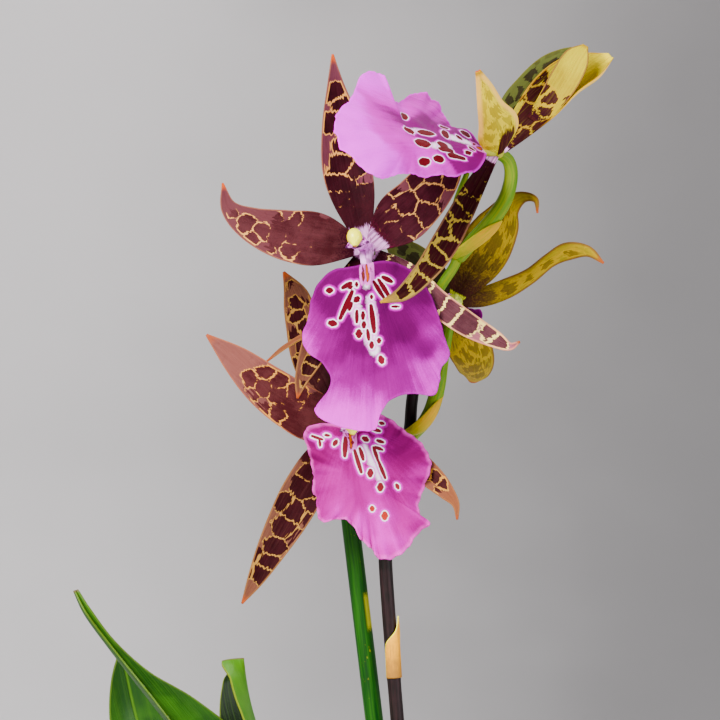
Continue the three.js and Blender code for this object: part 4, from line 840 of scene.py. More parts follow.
                "marks": {"net": (0.5, 0.7, 0.7), "bare": (0, 0.4, 1.2), "to": 0.7, "cell": (6, 9)}},
            "RightSepal": {"path": [(1, 0, 0), (9.5, 2, 1.5), (18, 4, 4.5), (26, 5, 8.8), (32.5, 4, 14),
                    (38.5, 2, 17), (45, -2, 17), (50, -6, 13)],
                "width": (1.8, 3.4, 3.6, 2.8, 2.6, 3.2, 1.9, 0.3), "face": [(0, 1, 0.2)], "roll": (0.5,),
                "look": ("maroonNet", "oliveGold"),
                "marks": {"net": (0.5, 0.7, 0.7), "bare": (-1, 0.4, 0.6), "to": 0.84, "cell": (4, 8)}},
            "LowerPetal": {"path": [(0.5, 0, -1), (2.5, 3, -7.5), (5, 8, -14), (7.5, 16, -20.5),
                    (8.3, 28, -25), (7.8, 38, -27.3)], "width": (2, 6.4, 7.8, 7.4, 5.6, 1.5),
                "face": [(0, 0.9, 0.3)], "roll": (0.5,), "look": ("maroonNet", "oliveGold"),
                "marks": {"net": (0.5, 0.7, 0.7), "bare": (0, 0.4, 0.8), "to": 0.86, "cell": (6, 8)}},
            "Dorsal": {
                "path": [(-0.5, 0.5, 0.5), (-7, 4, 8), (-13, 6, 13.5), (-18, 6, 17.5), (-23.5, 5, 21.5)],
                "width": (2, 5.6, 6, 4.4, 0.4), "face": [(0, 1, 0.2)], "look": ("maroon", "olive")},
            "LeftSepal": {"path": [(-0.5, 0.5, -0.5), (-7, 5, -6.5), (-13, 10, -12.5), (-17, 14, -18.5),
                    (-20.5, 16, -23.5)], "width": (2, 5.6, 6, 4.4, 0.4), "face": [(0, 1, 0)],
                "look": ("maroon", "olive")}},
        "lip": {"root": (-0.5, 6, -1), "down": (-0.45, 0.85, -0.4), "face": (-0.2, 0.5, 0.8),
            "middle": (0, 26, 4),
            "outline": [(0, 0, 0), (8, 2, 0), (16, 6, -1), (21, 12, -2), (22, 20, -3), (20, 30, -2),
                (17, 37, 0), (16, 43, 2), (19, 50, 3), (13, 56, 2), (0, 58, 2), (-10, 57, 2), (-15, 51, 4),
                (-13, 43, 2), (-15, 36, 0), (-18, 27, -2), (-18, 18, -2), (-16, 9, -1), (-12, 2, 0),
                (-5, 0.5, 0)], "folds": [(0, 8, 0, 40, -1.2, 3.0)], "frill": (0.6, 19, 0.2), "ragged": 0.15,
            "look": "magenta",
            "tones": [(0, 8, 10, 0.05), (0, 30, 10, 0.2), (-18, 20, 8, 0.5), (18, 20, 8, 0.5),
                (0, 52, 9, 0.8)], "pale": [(0, 14, 22, 3.5, 0)],
            "spots": [(-3, 10, 4, 1.6, -15), (3, 10, 4, 1.6, 15), (0, 15, 5, 1.7, 0), (-4, 17, 4, 1.6, -12),
                (4, 17, 4, 1.6, 12), (0, 22, 3.5, 1.9, 0), (-3, 25, 3, 1.8, 0), (3, 26, 3, 1.8, 0),
                (0, 31, 3, 2.1, 0), (-9, 12, 4, 1.6, -50), (9, 12, 4, 1.6, 50), (-11, 18, 3, 2, -40),
                (11, 18, 3, 2, 40)]}}}

lipDetail = {"rings": 60, "sectors": 220, "thick": 0.5, "edgeThin": 0.5, "blunt": 0.7, "scallops": 37,
    "crimps": 61}


# mm outside the nearest spindle-shaped mark (x, y, length, width, turn)
def outsideMarks(x, y, marks):
    blunt, best = lipDetail["blunt"], np.full(x.shape, 50.0)
    for mx, my, length, width, turn in marks:
        a = math.radians(turn)
        reach = max(length - width * blunt, 0.01)
        step = rows([math.sin(a), math.cos(a)]) * reach
        px, py = x - mx + step[0] / 2, y - my + step[1] / 2
        share = np.clip((px * step[0] + py * step[1]) / (reach * reach), 0, 1)
        girth = width / 2 * (blunt + (1 - blunt) * np.sin(share * math.pi))
        best = np.minimum(best, np.hypot(px - share * step[0], py - share * step[1]) - girth)
    return best


# a value blended between places (x, y, reach, value)
def toneField(x, y, places):
    total, weight = 0, 1e-6
    for px, py, reach, value in places:
        w = np.exp(-((x - px) ** 2 + (y - py) ** 2) / reach ** 2)
        total, weight = total + w * value, weight + w
    return total / weight


def lipPiece(name, lip, centre):
    rings, sectors = lipDetail["rings"], lipDetail["sectors"]
    down = unitRows(rows(lip["down"]))
    face = rows(lip["face"])
    face = unitRows(face - (face @ down) * down)
    right = np.cross(face, down)
    middle = rows(lip["middle"])
    theta = np.arange(sectors) / sectors
    seed = int(abs(centre[0]) * 7) + 3
    edge = curveAt(lip["outline"], theta, closed=True)
    # small scallops round the outline, none at the root
    scallop = np.sin(2 * math.pi * theta * lipDetail["scallops"] + 5
        * softNoise(theta * 13, theta * 0 + 4.5, seed)) + softNoise(theta * 60, theta * 0 + 7.5, seed)
    outward = (edge - middle)[:, :2]
    outward /= np.linalg.norm(outward, axis=1)[:, None]
    edge[:, :2] += outward * (lip["ragged"] * scallop * np.clip(8 * np.minimum(theta, 1 - theta), 0, 1))[:,
        None]
    rho = np.linspace(0.02, 1, rings + 1)[:, None]
    x = middle[0] + (edge[:, 0] - middle[0])[None] * rho
    y = middle[1] + (edge[:, 1] - middle[1])[None] * rho
    h = middle[2] + (edge[:, 2] - middle[2])[None] * rho ** 2
    fold = np.zeros_like(h)
    for x0, y0, x1, y1, height, width in lip["folds"]:
        step = rows([x1 - x0, y1 - y0])
        share = np.clip(((x - x0) * step[0] + (y - y0) * step[1]) / (step @ step), 0, 1)
        gap = np.hypot(x - x0 - share * step[0], y - y0 - share * step[1])
        fold += height * np.exp(-(gap / width) ** 2)
    size, count, crimp = lip["frill"]
    turn = 2 * math.pi * theta[None] * count
    swing = 1 + 0.8 * softNoise(theta[None] * 17, rho * 0 + 0.5, seed)
    waves = size * rho ** 5 * np.sin(turn + 2.5 * softNoise(theta[None] * 9, rho * 0 + 2.5, seed)) * swing
    run, out = np.gradient(np.concatenate([edge[-1:], edge, edge[:1]]), axis=0)[1:-1], edge - middle
    square = np.abs(run[:, 0] * out[:, 1] - run[:, 1] * out[:, 0]) / (np.hypot(run[:, 0], run[:, 1])
        * np.hypot(out[:, 0], out[:, 1]))
    waves *= np.clip(square, 0.05, 1)[None]
    waves += crimp * rho ** 14 * np.sin(2 * math.pi * theta[None] * lipDetail["crimps"] + 3
        * softNoise(theta[None] * 23, rho * 0, seed + 1))
    relief = 0.35 * softNoise(x * 0.16 + 20, y * 0.16 + 20, seed + 2)
    # it comes to the root flat, so that the claw keeps its place
    far = np.hypot(x, y)
    lift = h + (fold + relief) * np.clip(far / 2.5, 0, 1) + waves * np.clip((far - 2) / 6, 0, 1)
    grid = rows(lip["root"]) + x[..., None] * right + y[..., None] * down + lift[..., None] * face
    spots = outsideMarks(x, y, lip["spots"])
    pale = outsideMarks(x, y, lip["pale"])
    spread = np.arctan2(x, np.maximum(y + 4, 0.5)) * 10
    callus = np.exp(-((x - 0.2) / 2.3) ** 4) * np.exp(-((y - 3.6) / 4.0) ** 4)
    callus *= 1.5 + 0.5 * np.cos(3.6 * (x - 0.4) + 0.7 * np.sin(0.9 * y))
    # tone: the lip's own colour zones from deep to light, and on lip B partly painted shade along fold
    # valleys and painted light on ridges
    tone = toneField(x, y, lip["tones"]) + 0.10 * softNoise(x * 0.22 + 3, y * 0.22, seed + 6)
    # lipPlace's third part is the depth of the valleys and frill troughs, which the finish uses to paint
    # shade there
    attributes = {"lipPlace": stackLike(x + seed * 9, y, -(fold + relief) - waves * 0.8),
                  "lipTone": stackLike(x * 0 + rho, spots, pale), "lipVein": stackLike(spread, tone, callus)}
    thickness = lipDetail["thick"] * (1 - lipDetail["edgeThin"] * rho ** 8)
    return sheetPiece(name, (grid + rows(centre)) * mm, thickness * mm,
                      [lipFinish[lip["look"]], lipFinish[lip["look"]]], attributes, closed=True)


# stems, stalks and stake: one ribbed tube along a rail of points, its girth and tone held on the rail

def buildStemTree():
    tree, bench, source, sink = newTree(
        "GeometryNodeTree", "ribbedStem",
        {"Rail": "Geometry", "Sides": "Int", "Ribs": "Int", "Rib depth": "Float", "Twist": "Float",
            "Finish": "Material"},
        {"Stem": "Geometry"})
    tree.is_modifier = True
    held = lambda name: bench.wire("GeometryNodeInputNamedAttribute", {"Name": name}, data_type="FLOAT")
    rail = bench.wire("GeometryNodeMeshToCurve", {"Mesh": source["Rail"]})
    circle = bench.wire("GeometryNodeCurvePrimitiveCircle", {"Resolution": source["Sides"], "Radius": 1.0})
    turn = bench.wire("GeometryNodeSplineParameter") * (2 * math.pi)
    profile = bench.wire("GeometryNodeStoreNamedAttribute",
        {"Geometry": circle, "Name": "turn", "Value": turn},
                         data_type="FLOAT", domain="POINT")
    tube = bench.wire("GeometryNodeCurveToMesh",
        {"Curve": rail, "Profile Curve": profile, "Scale": held("girth"), "Fill Caps": True})
    turned, gone, around = held("turn"), held("gone"), held("girth") * 1000.0
    phase = turned * source["Ribs"] + gone * source["Twist"]
    rise = bench.math("COSINE", phase) * source["Rib depth"] * bench.math("MINIMUM", around, 1.0)
    push = bench.add("ShaderNodeVectorMath", {0: bench.wire("GeometryNodeInputNormal"), "Scale": rise},
        operation="SCALE")
    ribbed = bench.wire("GeometryNodeSetPosition", {"Geometry": tube, "Offset": push.outputs[0]})
    place = bench.combine(bench.math("COSINE", turned) * around, bench.math("SINE", turned) * around, gone)
    marked = bench.wire("GeometryNodeStoreNamedAttribute",
        {"Geometry": ribbed, "Name": "stemPlace", "Value": place},
                        data_type="FLOAT_VECTOR", domain="POINT")
    whole = bench.wire("GeometryNodeRealizeInstances",
        {"Geometry": bench.wire("GeometryNodeSetShadeSmooth", {"Geometry": marked})})
    bench.feed(sink["Stem"],
        bench.wire("GeometryNodeSetMaterial", {"Geometry": whole, "Material": source["Finish"]}))
    return tree


stemTree = buildStemTree()


# path, radii and bulges in mm; tones are dark-to-green and plain-to-purple, from foot to tip
def stemPiece(name, path, radii, finish, steps, sides, ribs, depth, twist=0.0, tones=((1, 0),), rings=(),
        offset=(0, 0, 0),
              roundEnds=(False, True)):
    t = np.linspace(0, 1, steps + 1)
    middle = curveAt(path, t) + rows(offset)
    gone = np.concatenate([[0], np.cumsum(np.linalg.norm(np.diff(middle, axis=0), axis=1))])
    girth = alongValue(radii, t)
    for at, rise, wide in rings:
        girth = girth + rise * np.exp(-((gone - at) / wide) ** 2)
    end = radii[-1]
    if roundEnds[1]:
        girth = girth * np.sqrt(np.clip(1 - np.clip((gone - gone[-1] + end) / end, 0, 1) ** 2, 0.02, 1))
    if roundEnds[0]:
        girth = girth * np.sqrt(np.clip(1 - np.clip((radii[0] - gone) / radii[0], 0, 1) ** 2, 0.02, 1))
    mesh = bpy.data.meshes.new(name)
    mesh.from_pydata((middle * mm).tolist(), [(k, k + 1) for k in range(steps)], [])
    for key, values in (("girth", girth * mm), ("gone", gone)):
        mesh.attributes.new(key, "FLOAT", "POINT").data.foreach_set("value", values.astype(np.float32))
    tone = np.column_stack([blendRows(tones, t), t])
    mesh.attributes.new("stemTone", "FLOAT_VECTOR", "POINT").data.foreach_set("vector",
        tone.astype(np.float32).ravel())
    return grow(makeObject(name, mesh), stemTree,
                {"Sides": sides, "Ribs": ribs, "Rib depth": depth * mm, "Twist": twist, "Finish": finish})


stemLook = {"dark": (0.0035, 0.0022, 0.0013), "darkStreak": (0.0079, 0.0046, 0.0022),
    "green": (0.0687, 0.1776, 0.0004), "greenLight": (0.1678, 0.2159, 0.0004),
    "purple": (0.0541, 0.0132, 0.0241), "speck": (0.0251, 0.0131, 0.0053), "rough": 0.5}


def makeStemFinish():
    material, bench, shader = newMaterial("flowerStem")
    place = bench.attribute("stemPlace")[0]
    _, green, purple, _ = bench.attribute("stemTone")
    streak = bench.noise(bench.scaled(place, (1.6, 1.6, 0.10)), 1.0, 3.0)
    grain = bench.noise(place, 3.0, 2.0)
    cloud = bench.noise(place, 0.25, 2.0)
    dark = bench.mix(bench.ease(streak, 0.48, 0.72), stemLook["dark"], stemLook["darkStreak"])
    fresh = bench.mix(bench.ease(streak, 0.35, 0.7), stemLook["green"], stemLook["greenLight"])
    turn = green + (cloud - 0.5) * 0.5
    base = bench.mix(bench.ease(turn, 0.35, 0.65), dark, fresh)
    blush = purple * bench.ease(streak + cloud * 0.5, 0.55, 0.95)
    base = bench.mix(blush, base, stemLook["purple"])
    base = bench.mix(bench.ease(grain, 0.66, 0.74) * 0.5, base, stemLook["speck"])
    height = streak * 0.3 + grain * 0.3
    dress(bench, shader, {"Base Color": base, "Normal": bench.bump(height, 0.3, 0.0002),
        "Roughness": stemLook["rough"] - 0.08 + grain * 0.2, "Specular IOR Level": 0.15,
        "Subsurface Weight": 0.05, "Subsurface Radius": (0.4, 0.9, 0.2), "Subsurface Scale": 0.001})
    return material


bractLook = {"thick": 0.4, "steps": 40, "across": 10, "fresh": (0.4729, 0.2575, 0.0004),
    "freshBase": (0.2276, 0.2558, 0.0004), "edge": (0.377, 0.3277, 0.0004), "dry": (0.95, 0.3992, 0.0004),
    "dryDark": (0.3382, 0.1476, 0.0189), "dryEdge": (0.95, 0.8572, 0.0144), "husk": (0.3138, 0.1995, 0.0726),
    "huskDark": (0.1176, 0.0717, 0.0338), "huskEdge": (0.5267, 0.3518, 0.1229)}


def bractMaterial(name, main, low, edgeTone, rough, see):
    material, bench, shader = newMaterial(name)
    place, _, _, edge = bench.attribute("petalPlace")
    along = bench.attribute("petalShare")[2]
    veins = bench.group(veinGroup, {"Vector": place, "Across": 2.2, "Along": 0.05})
    cloud = bench.noise(place, 0.5, 3.0)
    base = bench.mix(bench.ease(along + cloud * 0.4, 0.2, 0.9), low, main)
    base = bench.mix(bench.ease(veins["Vein"], 0.5, 0.62) * 0.55, base, low)
    base = bench.mix(1.0 - bench.ease(edge, 0.1, 0.6), base, edgeTone)
    height = veins["Vein"] + cloud * 0.5
    dress(bench, shader, {"Base Color": base, "Normal": bench.bump(height, 0.6, 0.0004),
        "Roughness": rough + cloud * 0.15, "Specular IOR Level": 0.12, "Subsurface Weight": see,
        "Subsurface Radius": (0.9, 0.6, 0.2), "Subsurface Scale": 0.0015})
    return material


stemFinish = makeStemFinish()
freshBract = bractMaterial("freshBract", bractLook["fresh"], bractLook["freshBase"], bractLook["edge"], 0.5,
    0.05)
dryBract = bractMaterial("dryBract", bractLook["dry"], bractLook["dryDark"], bractLook["dryEdge"], 0.65, 0.05)
huskFinish = bractMaterial("paperyHusk", bractLook["husk"], bractLook["huskDark"], bractLook["huskEdge"], 0.7,
    0.03)

stemPath = [(21, 18, 86), (10.5, 18, 215.5), (2, 18, 309.5), (-0.5, 18, 336.5), (-4.5, 18, 390),
    (-3.5, 18, 410), (3, 20, 430), (4.5, 20, 443.5), (7, 20, 460.5), (12.5, 15, 478.5), (19.5, 12, 491),
    (18.5, 14, 502), (19.5, 15, 510.5), (23, 14, 520)]
stemRadii = (2.8, 2.6, 2.4, 2.3, 2.3, 2.3, 2.1, 2, 1.9, 1.7, 1.7, 1.5, 1.2, 0.9)
stemTones = [(0.12, 0.2)] * 6 + [(0.15, 0.2), (0.25, 0.2), (0.5, 0.1), (0.62, 0), (0.7, 0), (0.9, 0), (1, 0),
    (1, 0)]
stemRings = [(62, 0.5, 1.2), (145, 0.45, 1.2), (265.5, 0.15, 1.3),
    (345, 0.4, 1.2)]     # mm along, rise, width of each joint

bloomStalks = {
    "A": {"path": [(19.5, 12, 490), (24, 8, 496), (30, 5, 502.5), (35, 4, 510), (37, 4, 517.5), (36, 3, 523),
            (32, 1, 526)], "radii": (1.8, 2.4, 2.6, 2.5, 2.3, 2.2, 2.2), "tones": ((1, 0), (1, 0), (1.1, 0))},
    "B": {"path": [(8, 19, 465), (4.5, 19, 475.5), (-1, 16, 484), (-5.5, 9, 489.5), (-11, 2, 493.5)],
        "radii": (1.6, 1.9, 2, 1.9, 2.2), "tones": ((1, 0.1), (0.9, 0.6))},
    "C": {"path": [(-3.5, 18, 406), (-7.5, 22, 414.5), (-12.5, 20, 423.5), (-15.5, 14, 431), (-17, 9, 434.5)],
        "radii": (1.8, 2, 2, 2, 2.2), "tones": ((0.6, 0.5), (0.9, 0.7))},
    "D": {"path": [(3.5, 20, 430), (10, 16, 438.5), (13, 15, 447.5), (15, 16, 458.5), (17, 18, 468.5),
            (18.5, 22, 476.5)], "radii": (1.8, 2.4, 2.4, 1.9, 1.6, 2), "tones": ((1, 0), (1, 0), (1, 0.1))}}

bracts = {
    "UnderBloomD": {
        "path": [(2, 18.5, 431), (6, 13.5, 432.5), (9.5, 12, 435.5), (12.5, 12, 440), (15, 15, 445.5)],
        "width": (3, 3.8, 3.6, 2.6, 0.3), "face": [(-0.5, 0.7, 0.6)], "roll": (1.1,), "dry": False},
    "UnderBloomA": {
        "path": [(19, 10.5, 490.5), (23, 6, 493), (27.5, 3, 496.5), (31.5, 2.5, 500), (34, 3, 503)],
        "width": (3, 3.6, 3.4, 2.4, 0.3), "face": [(-0.5, 0.7, 0.5)], "roll": (1.1,), "dry": False},
    "UnderBloomB": {"path": [(8.5, 18, 464), (10.5, 22, 469), (9.5, 24, 474), (7.5, 24, 479)],
        "width": (2.4, 2.8, 2.2, 0.3), "face": [(-0.3, -0.9, 0)], "roll": (1,), "dry": False},
    "UnderBloomC": {"path": [(-4, 18, 404.5), (-8, 20.5, 408), (-11.5, 21.5, 413), (-13.5, 20, 418)],
        "width": (2.6, 2.8, 2.2, 0.3), "face": [(0.6, 0, 0.8)], "roll": (1,), "dry": False},
    "DrySheath": {"path": [(0.9, 17.6, 350.6), (0.6, 17.6, 356), (0.3, 17.5, 361.5), (0.15, 17.3, 366.5),
            (-0.2, 17.2, 371.2)], "width": (7.2, 7, 6.4, 2.4, 0.3), "face": [(-1, 0.15, 0)],
        "roll": (2.85, 2.8, 2.6, 1, 0.4), "dry": True},
    "LowSheath": {"path": [(9, 16, 232), (8, 15.5, 243), (7.5, 15.5, 254), (7, 15.5, 264)],
        "width": (4.8, 4.6, 3, 0.3), "face": [(-0.1, 1, 0)], "roll": (1.5,), "dry": True}}


def makeSpike():
    stem = stemPiece("flowerStem", stemPath, stemRadii, stemFinish, 300, 24, 5, 0.02, 0.0, stemTones,
        stemRings)
    stalks = [stemPiece(f"stalk{key}", spec["path"], spec["radii"], stemFinish, 60, 24, 6, 0.08, 0.05,
        spec["tones"],
                        roundEnds=(True, True)) for key, spec in bloomStalks.items()]
    settle(joinPieces("flowerStem", [stem] + stalks), "stem", "flower_spike")
    for number, (label, spec) in enumerate(bracts.items()):
        finish = dryBract if spec["dry"] else freshBract
        bract = bladePiece("bract" + label, spec, (0, 0, 0), finish, finish, bractLook, 60 + number)
        settle(bract, "stem")
    print("spike made")


stakeLook = {"green": (0.0004, 0.0323, 0.001), "light": (0.0101, 0.0839, 0.0004),
    "rubbed": (0.2892, 0.2889, 0.0004), "dirt": (0.0074, 0.0268, 0.0045), "radius": 3.05,
    "streakAt": (1.1, 289, 7)}
stakePath = [(22, 26, 85), (-15.5, 26, 396), (-18, 26, 417)]


def makeStake():
    material, bench, shader = newMaterial("stakePaint")
    place, _, right, along = bench.attribute("stemPlace")
    streak = bench.noise(bench.scaled(place, (1.2, 1.2, 0.04)), 1.0, 3.0)
    worn = bench.noise(bench.scaled(place, (0.5, 0.5, 0.22)), 1.0, 4.0, 0.7)
    grain = bench.noise(place, 2.4, 3.0)
    base = bench.mix(bench.ease(streak, 0.35, 0.7), stakeLook["green"], stakeLook["light"])
    base = bench.mix(bench.ease(worn, 0.66, 0.72), base, stakeLook["rubbed"])
    off = abs(along - stakeLook["streakAt"][1])
    scratch = off / stakeLook["streakAt"][2] + grain * 0.7
    scratch = bench.ease(scratch, 1.35, 1.0) * bench.ease(right, -stakeLook["streakAt"][0],
        -stakeLook["streakAt"][0] - 0.9)
    base = bench.mix(scratch, base, stakeLook["rubbed"])
    base = bench.mix(bench.ease(grain, 0.62, 0.75) * 0.35, base, stakeLook["dirt"])
    dress(bench, shader, {"Base Color": base, "Normal": bench.bump(streak + grain * 0.4, 0.5, 0.0003),
        "Roughness": 0.38 + worn * 0.25, "Specular IOR Level": 0.12})
    stake = stemPiece("stake", stakePath, (stakeLook["radius"],), material, 120, 24, 9, 0.05, 0.0,
                      rings=((92, 0.2, 2.0), (214, 0.2, 2.0)), roundEnds=(False, True))
    settle(stake, "stake", "stake")
    print("stake made")


# the column: a short arched post with a hollow under its tip, two small wings and a cap

columnLook = {"length": 11.0, "steps": 40, "around": 48, "flank": (0.95, 0.2503, 0.95),
    "mottle": (0.125, 0.0006, 0.0801), "deep": (0.0264, 0.0004, 0.0273), "hollow": (0.0614, 0.0291, 0.0133),
    "wing": (0.0596, 0.0004, 0.057), "cap": (0.95, 0.95, 0.0004), "capShade": (0.7715, 0.5646, 0.0004),
    "beak": (0.3871, 0.0878, 0.0004), "capSize": (2.55, 3.1, 2.6)}

columnAims = {"A": ((-0.27, 0.12, 0.95), (0.5, 0.3, 0.8)), "B": ((-0.33, -0.9, 0.27), (-0.25, -0.1, 1)),
    "C": ((0.12, -0.93, 0.04), (0, -0.1, 1)), "D": ((-0.2, 0.9, 0.3), (0, 0, 1))}


def makeColumnFinish():
    material, bench, shader = newMaterial("columnFlesh")
    place = bench.attribute("columnPlace")[0]
    _, along, hollow, wing = bench.attribute("columnTone")
    mottle = bench.noise(bench.scaled(place, (0.7, 0.7, 0.4)), 1.2, 3.0, 0.65, 0.4)
    grain = bench.noise(place, 3.0, 2.0)
    base = bench.mix(bench.ease(mottle, 0.44, 0.56) * bench.ease(along, 0.05, 0.6), columnLook["flank"],
        columnLook["mottle"])
    base = bench.mix(bench.ease(wing, 0.25, 0.6), base, columnLook["wing"])
    base = bench.mix(bench.ease(hollow, 0.2, 0.4), base, columnLook["deep"])
    base = bench.mix(bench.ease(hollow, 0.55, 0.8), base, columnLook["hollow"])
    dress(bench, shader, {"Base Color": base, "Normal": bench.bump(mottle + grain, 0.3, 0.0003),
        "Roughness": 0.3 + grain * 0.2, "Subsurface Weight": 0.15, "Subsurface Radius": (0.9, 0.4, 0.7),
        "Subsurface Scale": 0.001})
    return material


def makeCapFinish():
    material, bench, shader = newMaterial("antherCap")
    place = bench.attribute("columnPlace")[0]
    _, beak, shade, _ = bench.attribute("columnTone")
    cloud = bench.noise(place, 0.8, 2.0)
    grain = bench.noise(place, 4.0, 2.0)
    base = bench.mix(bench.ease(shade + cloud * 0.5, 0.4, 1.2), columnLook["cap"], columnLook["capShade"])
    base = bench.mix(bench.ease(beak, 0.7, 0.92), base, columnLook["beak"])
    dress(bench, shader, {"Base Color": base, "Normal": bench.bump(cloud + grain * 0.3, 0.25, 0.0002),
        "Roughness": 0.28 + grain * 0.15, "Subsurface Weight": 0.2, "Subsurface Radius": (0.9, 0.8, 0.3),
        "Subsurface Scale": 0.0012})
    return material


columnFinish = makeColumnFinish()
capFinish = makeCapFinish()


# closes a grid of rings, rows by turns, with a point at each end
def ringPiece(name, grid, materials, attributes):
    n, m = grid.shape[:2]
    points = np.concatenate([grid.reshape(-1, 3), [grid[0].mean(0), grid[-1].mean(0)]])
    i, j = np.meshgrid(np.arange(n - 1), np.arange(m), indexing="ij")
    a, b = (i * m + j).ravel(), (i * m + (j + 1) % m).ravel()
    faces = np.stack([a, b, b + m, a + m], -1).tolist()
    low, high, last = n * m, n * m + 1, (n - 1) * m
    for k in range(m):
        faces += [[low, (k + 1) % m, k], [high, last + k, last + (k + 1) % m]]
    filled = {key: np.concatenate([v.reshape(-1, 3), [v[0].mean(0), v[-1].mean(0)]]) for key,
        v in attributes.items()}
    return makeMesh(name, points, faces, materials, None, filled)


def columnPiece(key, centre):
    aim, back = (unitRows(rows(v)) for v in columnAims[key])
    back = unitRows(back - (back @ aim) * aim)
    right = np.cross(back, aim)                       # right, back and aim in turn
    length, n, m = columnLook["length"], columnLook["steps"], columnLook["around"]
    t = np.linspace(0, 1, n + 1)[:, None]
    theta = (np.arange(m) / m * 2 * math.pi)[None]
    wide = np.interp(t, (0, 0.35, 0.7, 0.88, 1), (2.5, 2.0, 2.7, 2.9, 2.0))
    deep = np.interp(t, (0, 0.35, 0.7, 0.88, 1), (2.6, 2.2, 2.6, 2.5, 1.6))
    angle = lambda target: (theta - target + math.pi) % (2 * math.pi) - math.pi
    wing = np.exp(-((t - 0.84) / 0.10) ** 2) * (np.exp(-(angle(-0.25) / 0.28) ** 2)
        + np.exp(-(angle(math.pi + 0.25) / 0.28) ** 2))
    hollow = np.exp(-((t - 0.88) / 0.12) ** 2) * np.exp(-(angle(-math.pi / 2) / 0.62) ** 2)
    x = wide * np.cos(theta) * (1 + 0.55 * wing)
    y = deep * np.sin(theta) * (1 - 0.62 * hollow) - 0.5 * wing
    arch = -0.9 * t ** 2 + 0.8 * np.sin(t * math.pi)
    z = length * 0.98 * t + 0.0 * theta
    grid = rows(centre) + x[..., None] * right + (y + arch)[..., None] * back + z[..., None] * aim
    tones = {"columnPlace": stackLike(x, y, z), "columnTone": stackLike(hollow * 0 + t, hollow, wing)}
    post = ringPiece(f"bloom{key}Post", grid * mm, [columnFinish], tones)
    phi = np.linspace(0.02, math.pi - 0.02, 31)[:, None]
    a, b, c = columnLook["capSize"]
    cx = a * np.sin(phi) * np.cos(theta)
    cz = c * np.sin(phi) * np.sin(theta)
    cy = b * np.cos(phi) + 0 * theta
    beak = np.clip((-cy / b - 0.35) / 0.65, 0, 1)
    cx = cx * (1 - 0.35 * beak)
    cy = cy - 0.55 * beak ** 3
    cz = cz + 0.9 * beak ** 2
    cleft = np.exp(-(cx / 0.35) ** 2) * (cz > 0) * beak
    cz = cz - 0.35 * cleft
    cap = rows(centre) + aim * length + cx[..., None] * right + (cy + 0.7)[..., None] * back + (cz + 0.2)[...,
        None] * aim
    capTones = {"columnPlace": stackLike(cx, cy, cz),
        "columnTone": stackLike(beak ** 2, np.clip(-cx / a, 0, 1), 0)}
    hood = ringPiece(f"bloom{key}Cap", cap * mm, [capFinish], capTones)
    return joinPieces(f"bloom{key}Column", [post, hood])


clawLook = {"lilac": ((0.95, 0.4317, 0.95), (0.2391, 0.0126, 0.213), (0.5986, 0.3693, 0.3758)),
    "lime": ((0.309, 0.3088, 0.0004), (0.198, 0.2148, 0.0004), (0.607, 0.5924, 0.0004)),
    "pale": ((0.5856, 0.6678, 0.027), (0.148, 0.1981, 0.0378), (0.3799, 0.2052, 0.3714))}


def makeClawFinish(name, pale, streak, fleck):
    material, bench, shader = newMaterial(f"heart_{name}")
    place = bench.attribute("stemPlace")[0]
    mottle = bench.noise(bench.scaled(place, (0.8, 0.8, 0.25)), 1.0, 2.0, 0.5)
    grain = bench.noise(place, 3.2, 2.0)
    base = bench.mix(bench.ease(mottle, 0.46, 0.66) * 0.7, pale, streak)
    base = bench.mix(bench.ease(grain, 0.55, 0.7) * 0.4, base, fleck)
    dress(bench, shader, {"Base Color": base, "Normal": bench.bump(mottle + grain * 0.4, 0.3, 0.0002),
        "Roughness": 0.5 + grain * 0.2, "Subsurface Weight": 0.12, "Subsurface Radius": (0.9, 0.5, 0.7),
        "Subsurface Scale": 0.001})
    return material


clawFinish = {name: makeClawFinish(name, *tones) for name, tones in clawLook.items()}


def makeBlooms():
    for key, bloom in blooms.items():
        centre = rows(bloom["centre"])
        for number, (label, spec) in enumerate(bloom["tepals"].items()):
            front, back = (tepalFinish[look] for look in spec["look"])
            piece = bladePiece(f"bloom{key}{label}", spec, centre, front, back, bladeDetail,
                               number + 7 * "ABCD".index(key))
            settle(piece, "tepal")
        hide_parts(bloom["node"] + "_tepals")
        root = rows(bloom["lip"]["root"])
        finish = clawFinish[bloom["heart"]]
        stub = unitRows(root)
        heart = stemPiece(f"bloom{key}Heart", [-stub * 2.8, -stub * 1.2, stub * 1.2, stub * 2.6],
            (2.3, 2.8, 2.7, 1.5), finish,
                          24, 20, 5, 0.2, offset=centre, roundEnds=(True, True))
        settle(heart, "tepal")
        down = unitRows(rows(bloom["lip"]["down"]))
        claw = stemPiece(f"bloom{key}Claw", [(0, 0, 0), root * 0.6, root + down * 1.5], (1.8, 1.9, 1.2),
            finish, 24, 16, 2, 0.2,
                         offset=centre)
        sheet = lipPiece(f"bloom{key}Lip", bloom["lip"], centre)
        settle(joinPieces(f"bloom{key}Lip", [sheet, claw]), "lip", bloom["node"] + "_lip")
        settle(columnPiece(key, centre), "column", bloom["node"] + "_column")
        print("bloom", key)


makeSpike()
makeStake()
makeBlooms()


# leafy shoots: a flattened ribbed bulb, its leaves, and papery sheaths round its foot

# the underside green is the leaves' own green darkened as painted shade
leafLook = {"dark": (0.0039, 0.0376, 0.0004), "mid": (0.0185, 0.0899, 0.0004),
    # the darkest green is painted shade and the bright flap green painted light, for the folded leaf's inner
    # face and outer flap
    "light": (0.0782, 0.1989, 0.0006), "back": (0.0077, 0.0449, 0.0004), "shade": (0.0011, 0.0079, 0.0004),
    "flap": (0.0521, 0.1824, 0.0004), "edge": (0.1739, 0.2288, 0.0004), "tip": (0.102, 0.076, 0.0241),
    "thick": 0.95, "steps": 110, "across": 16}


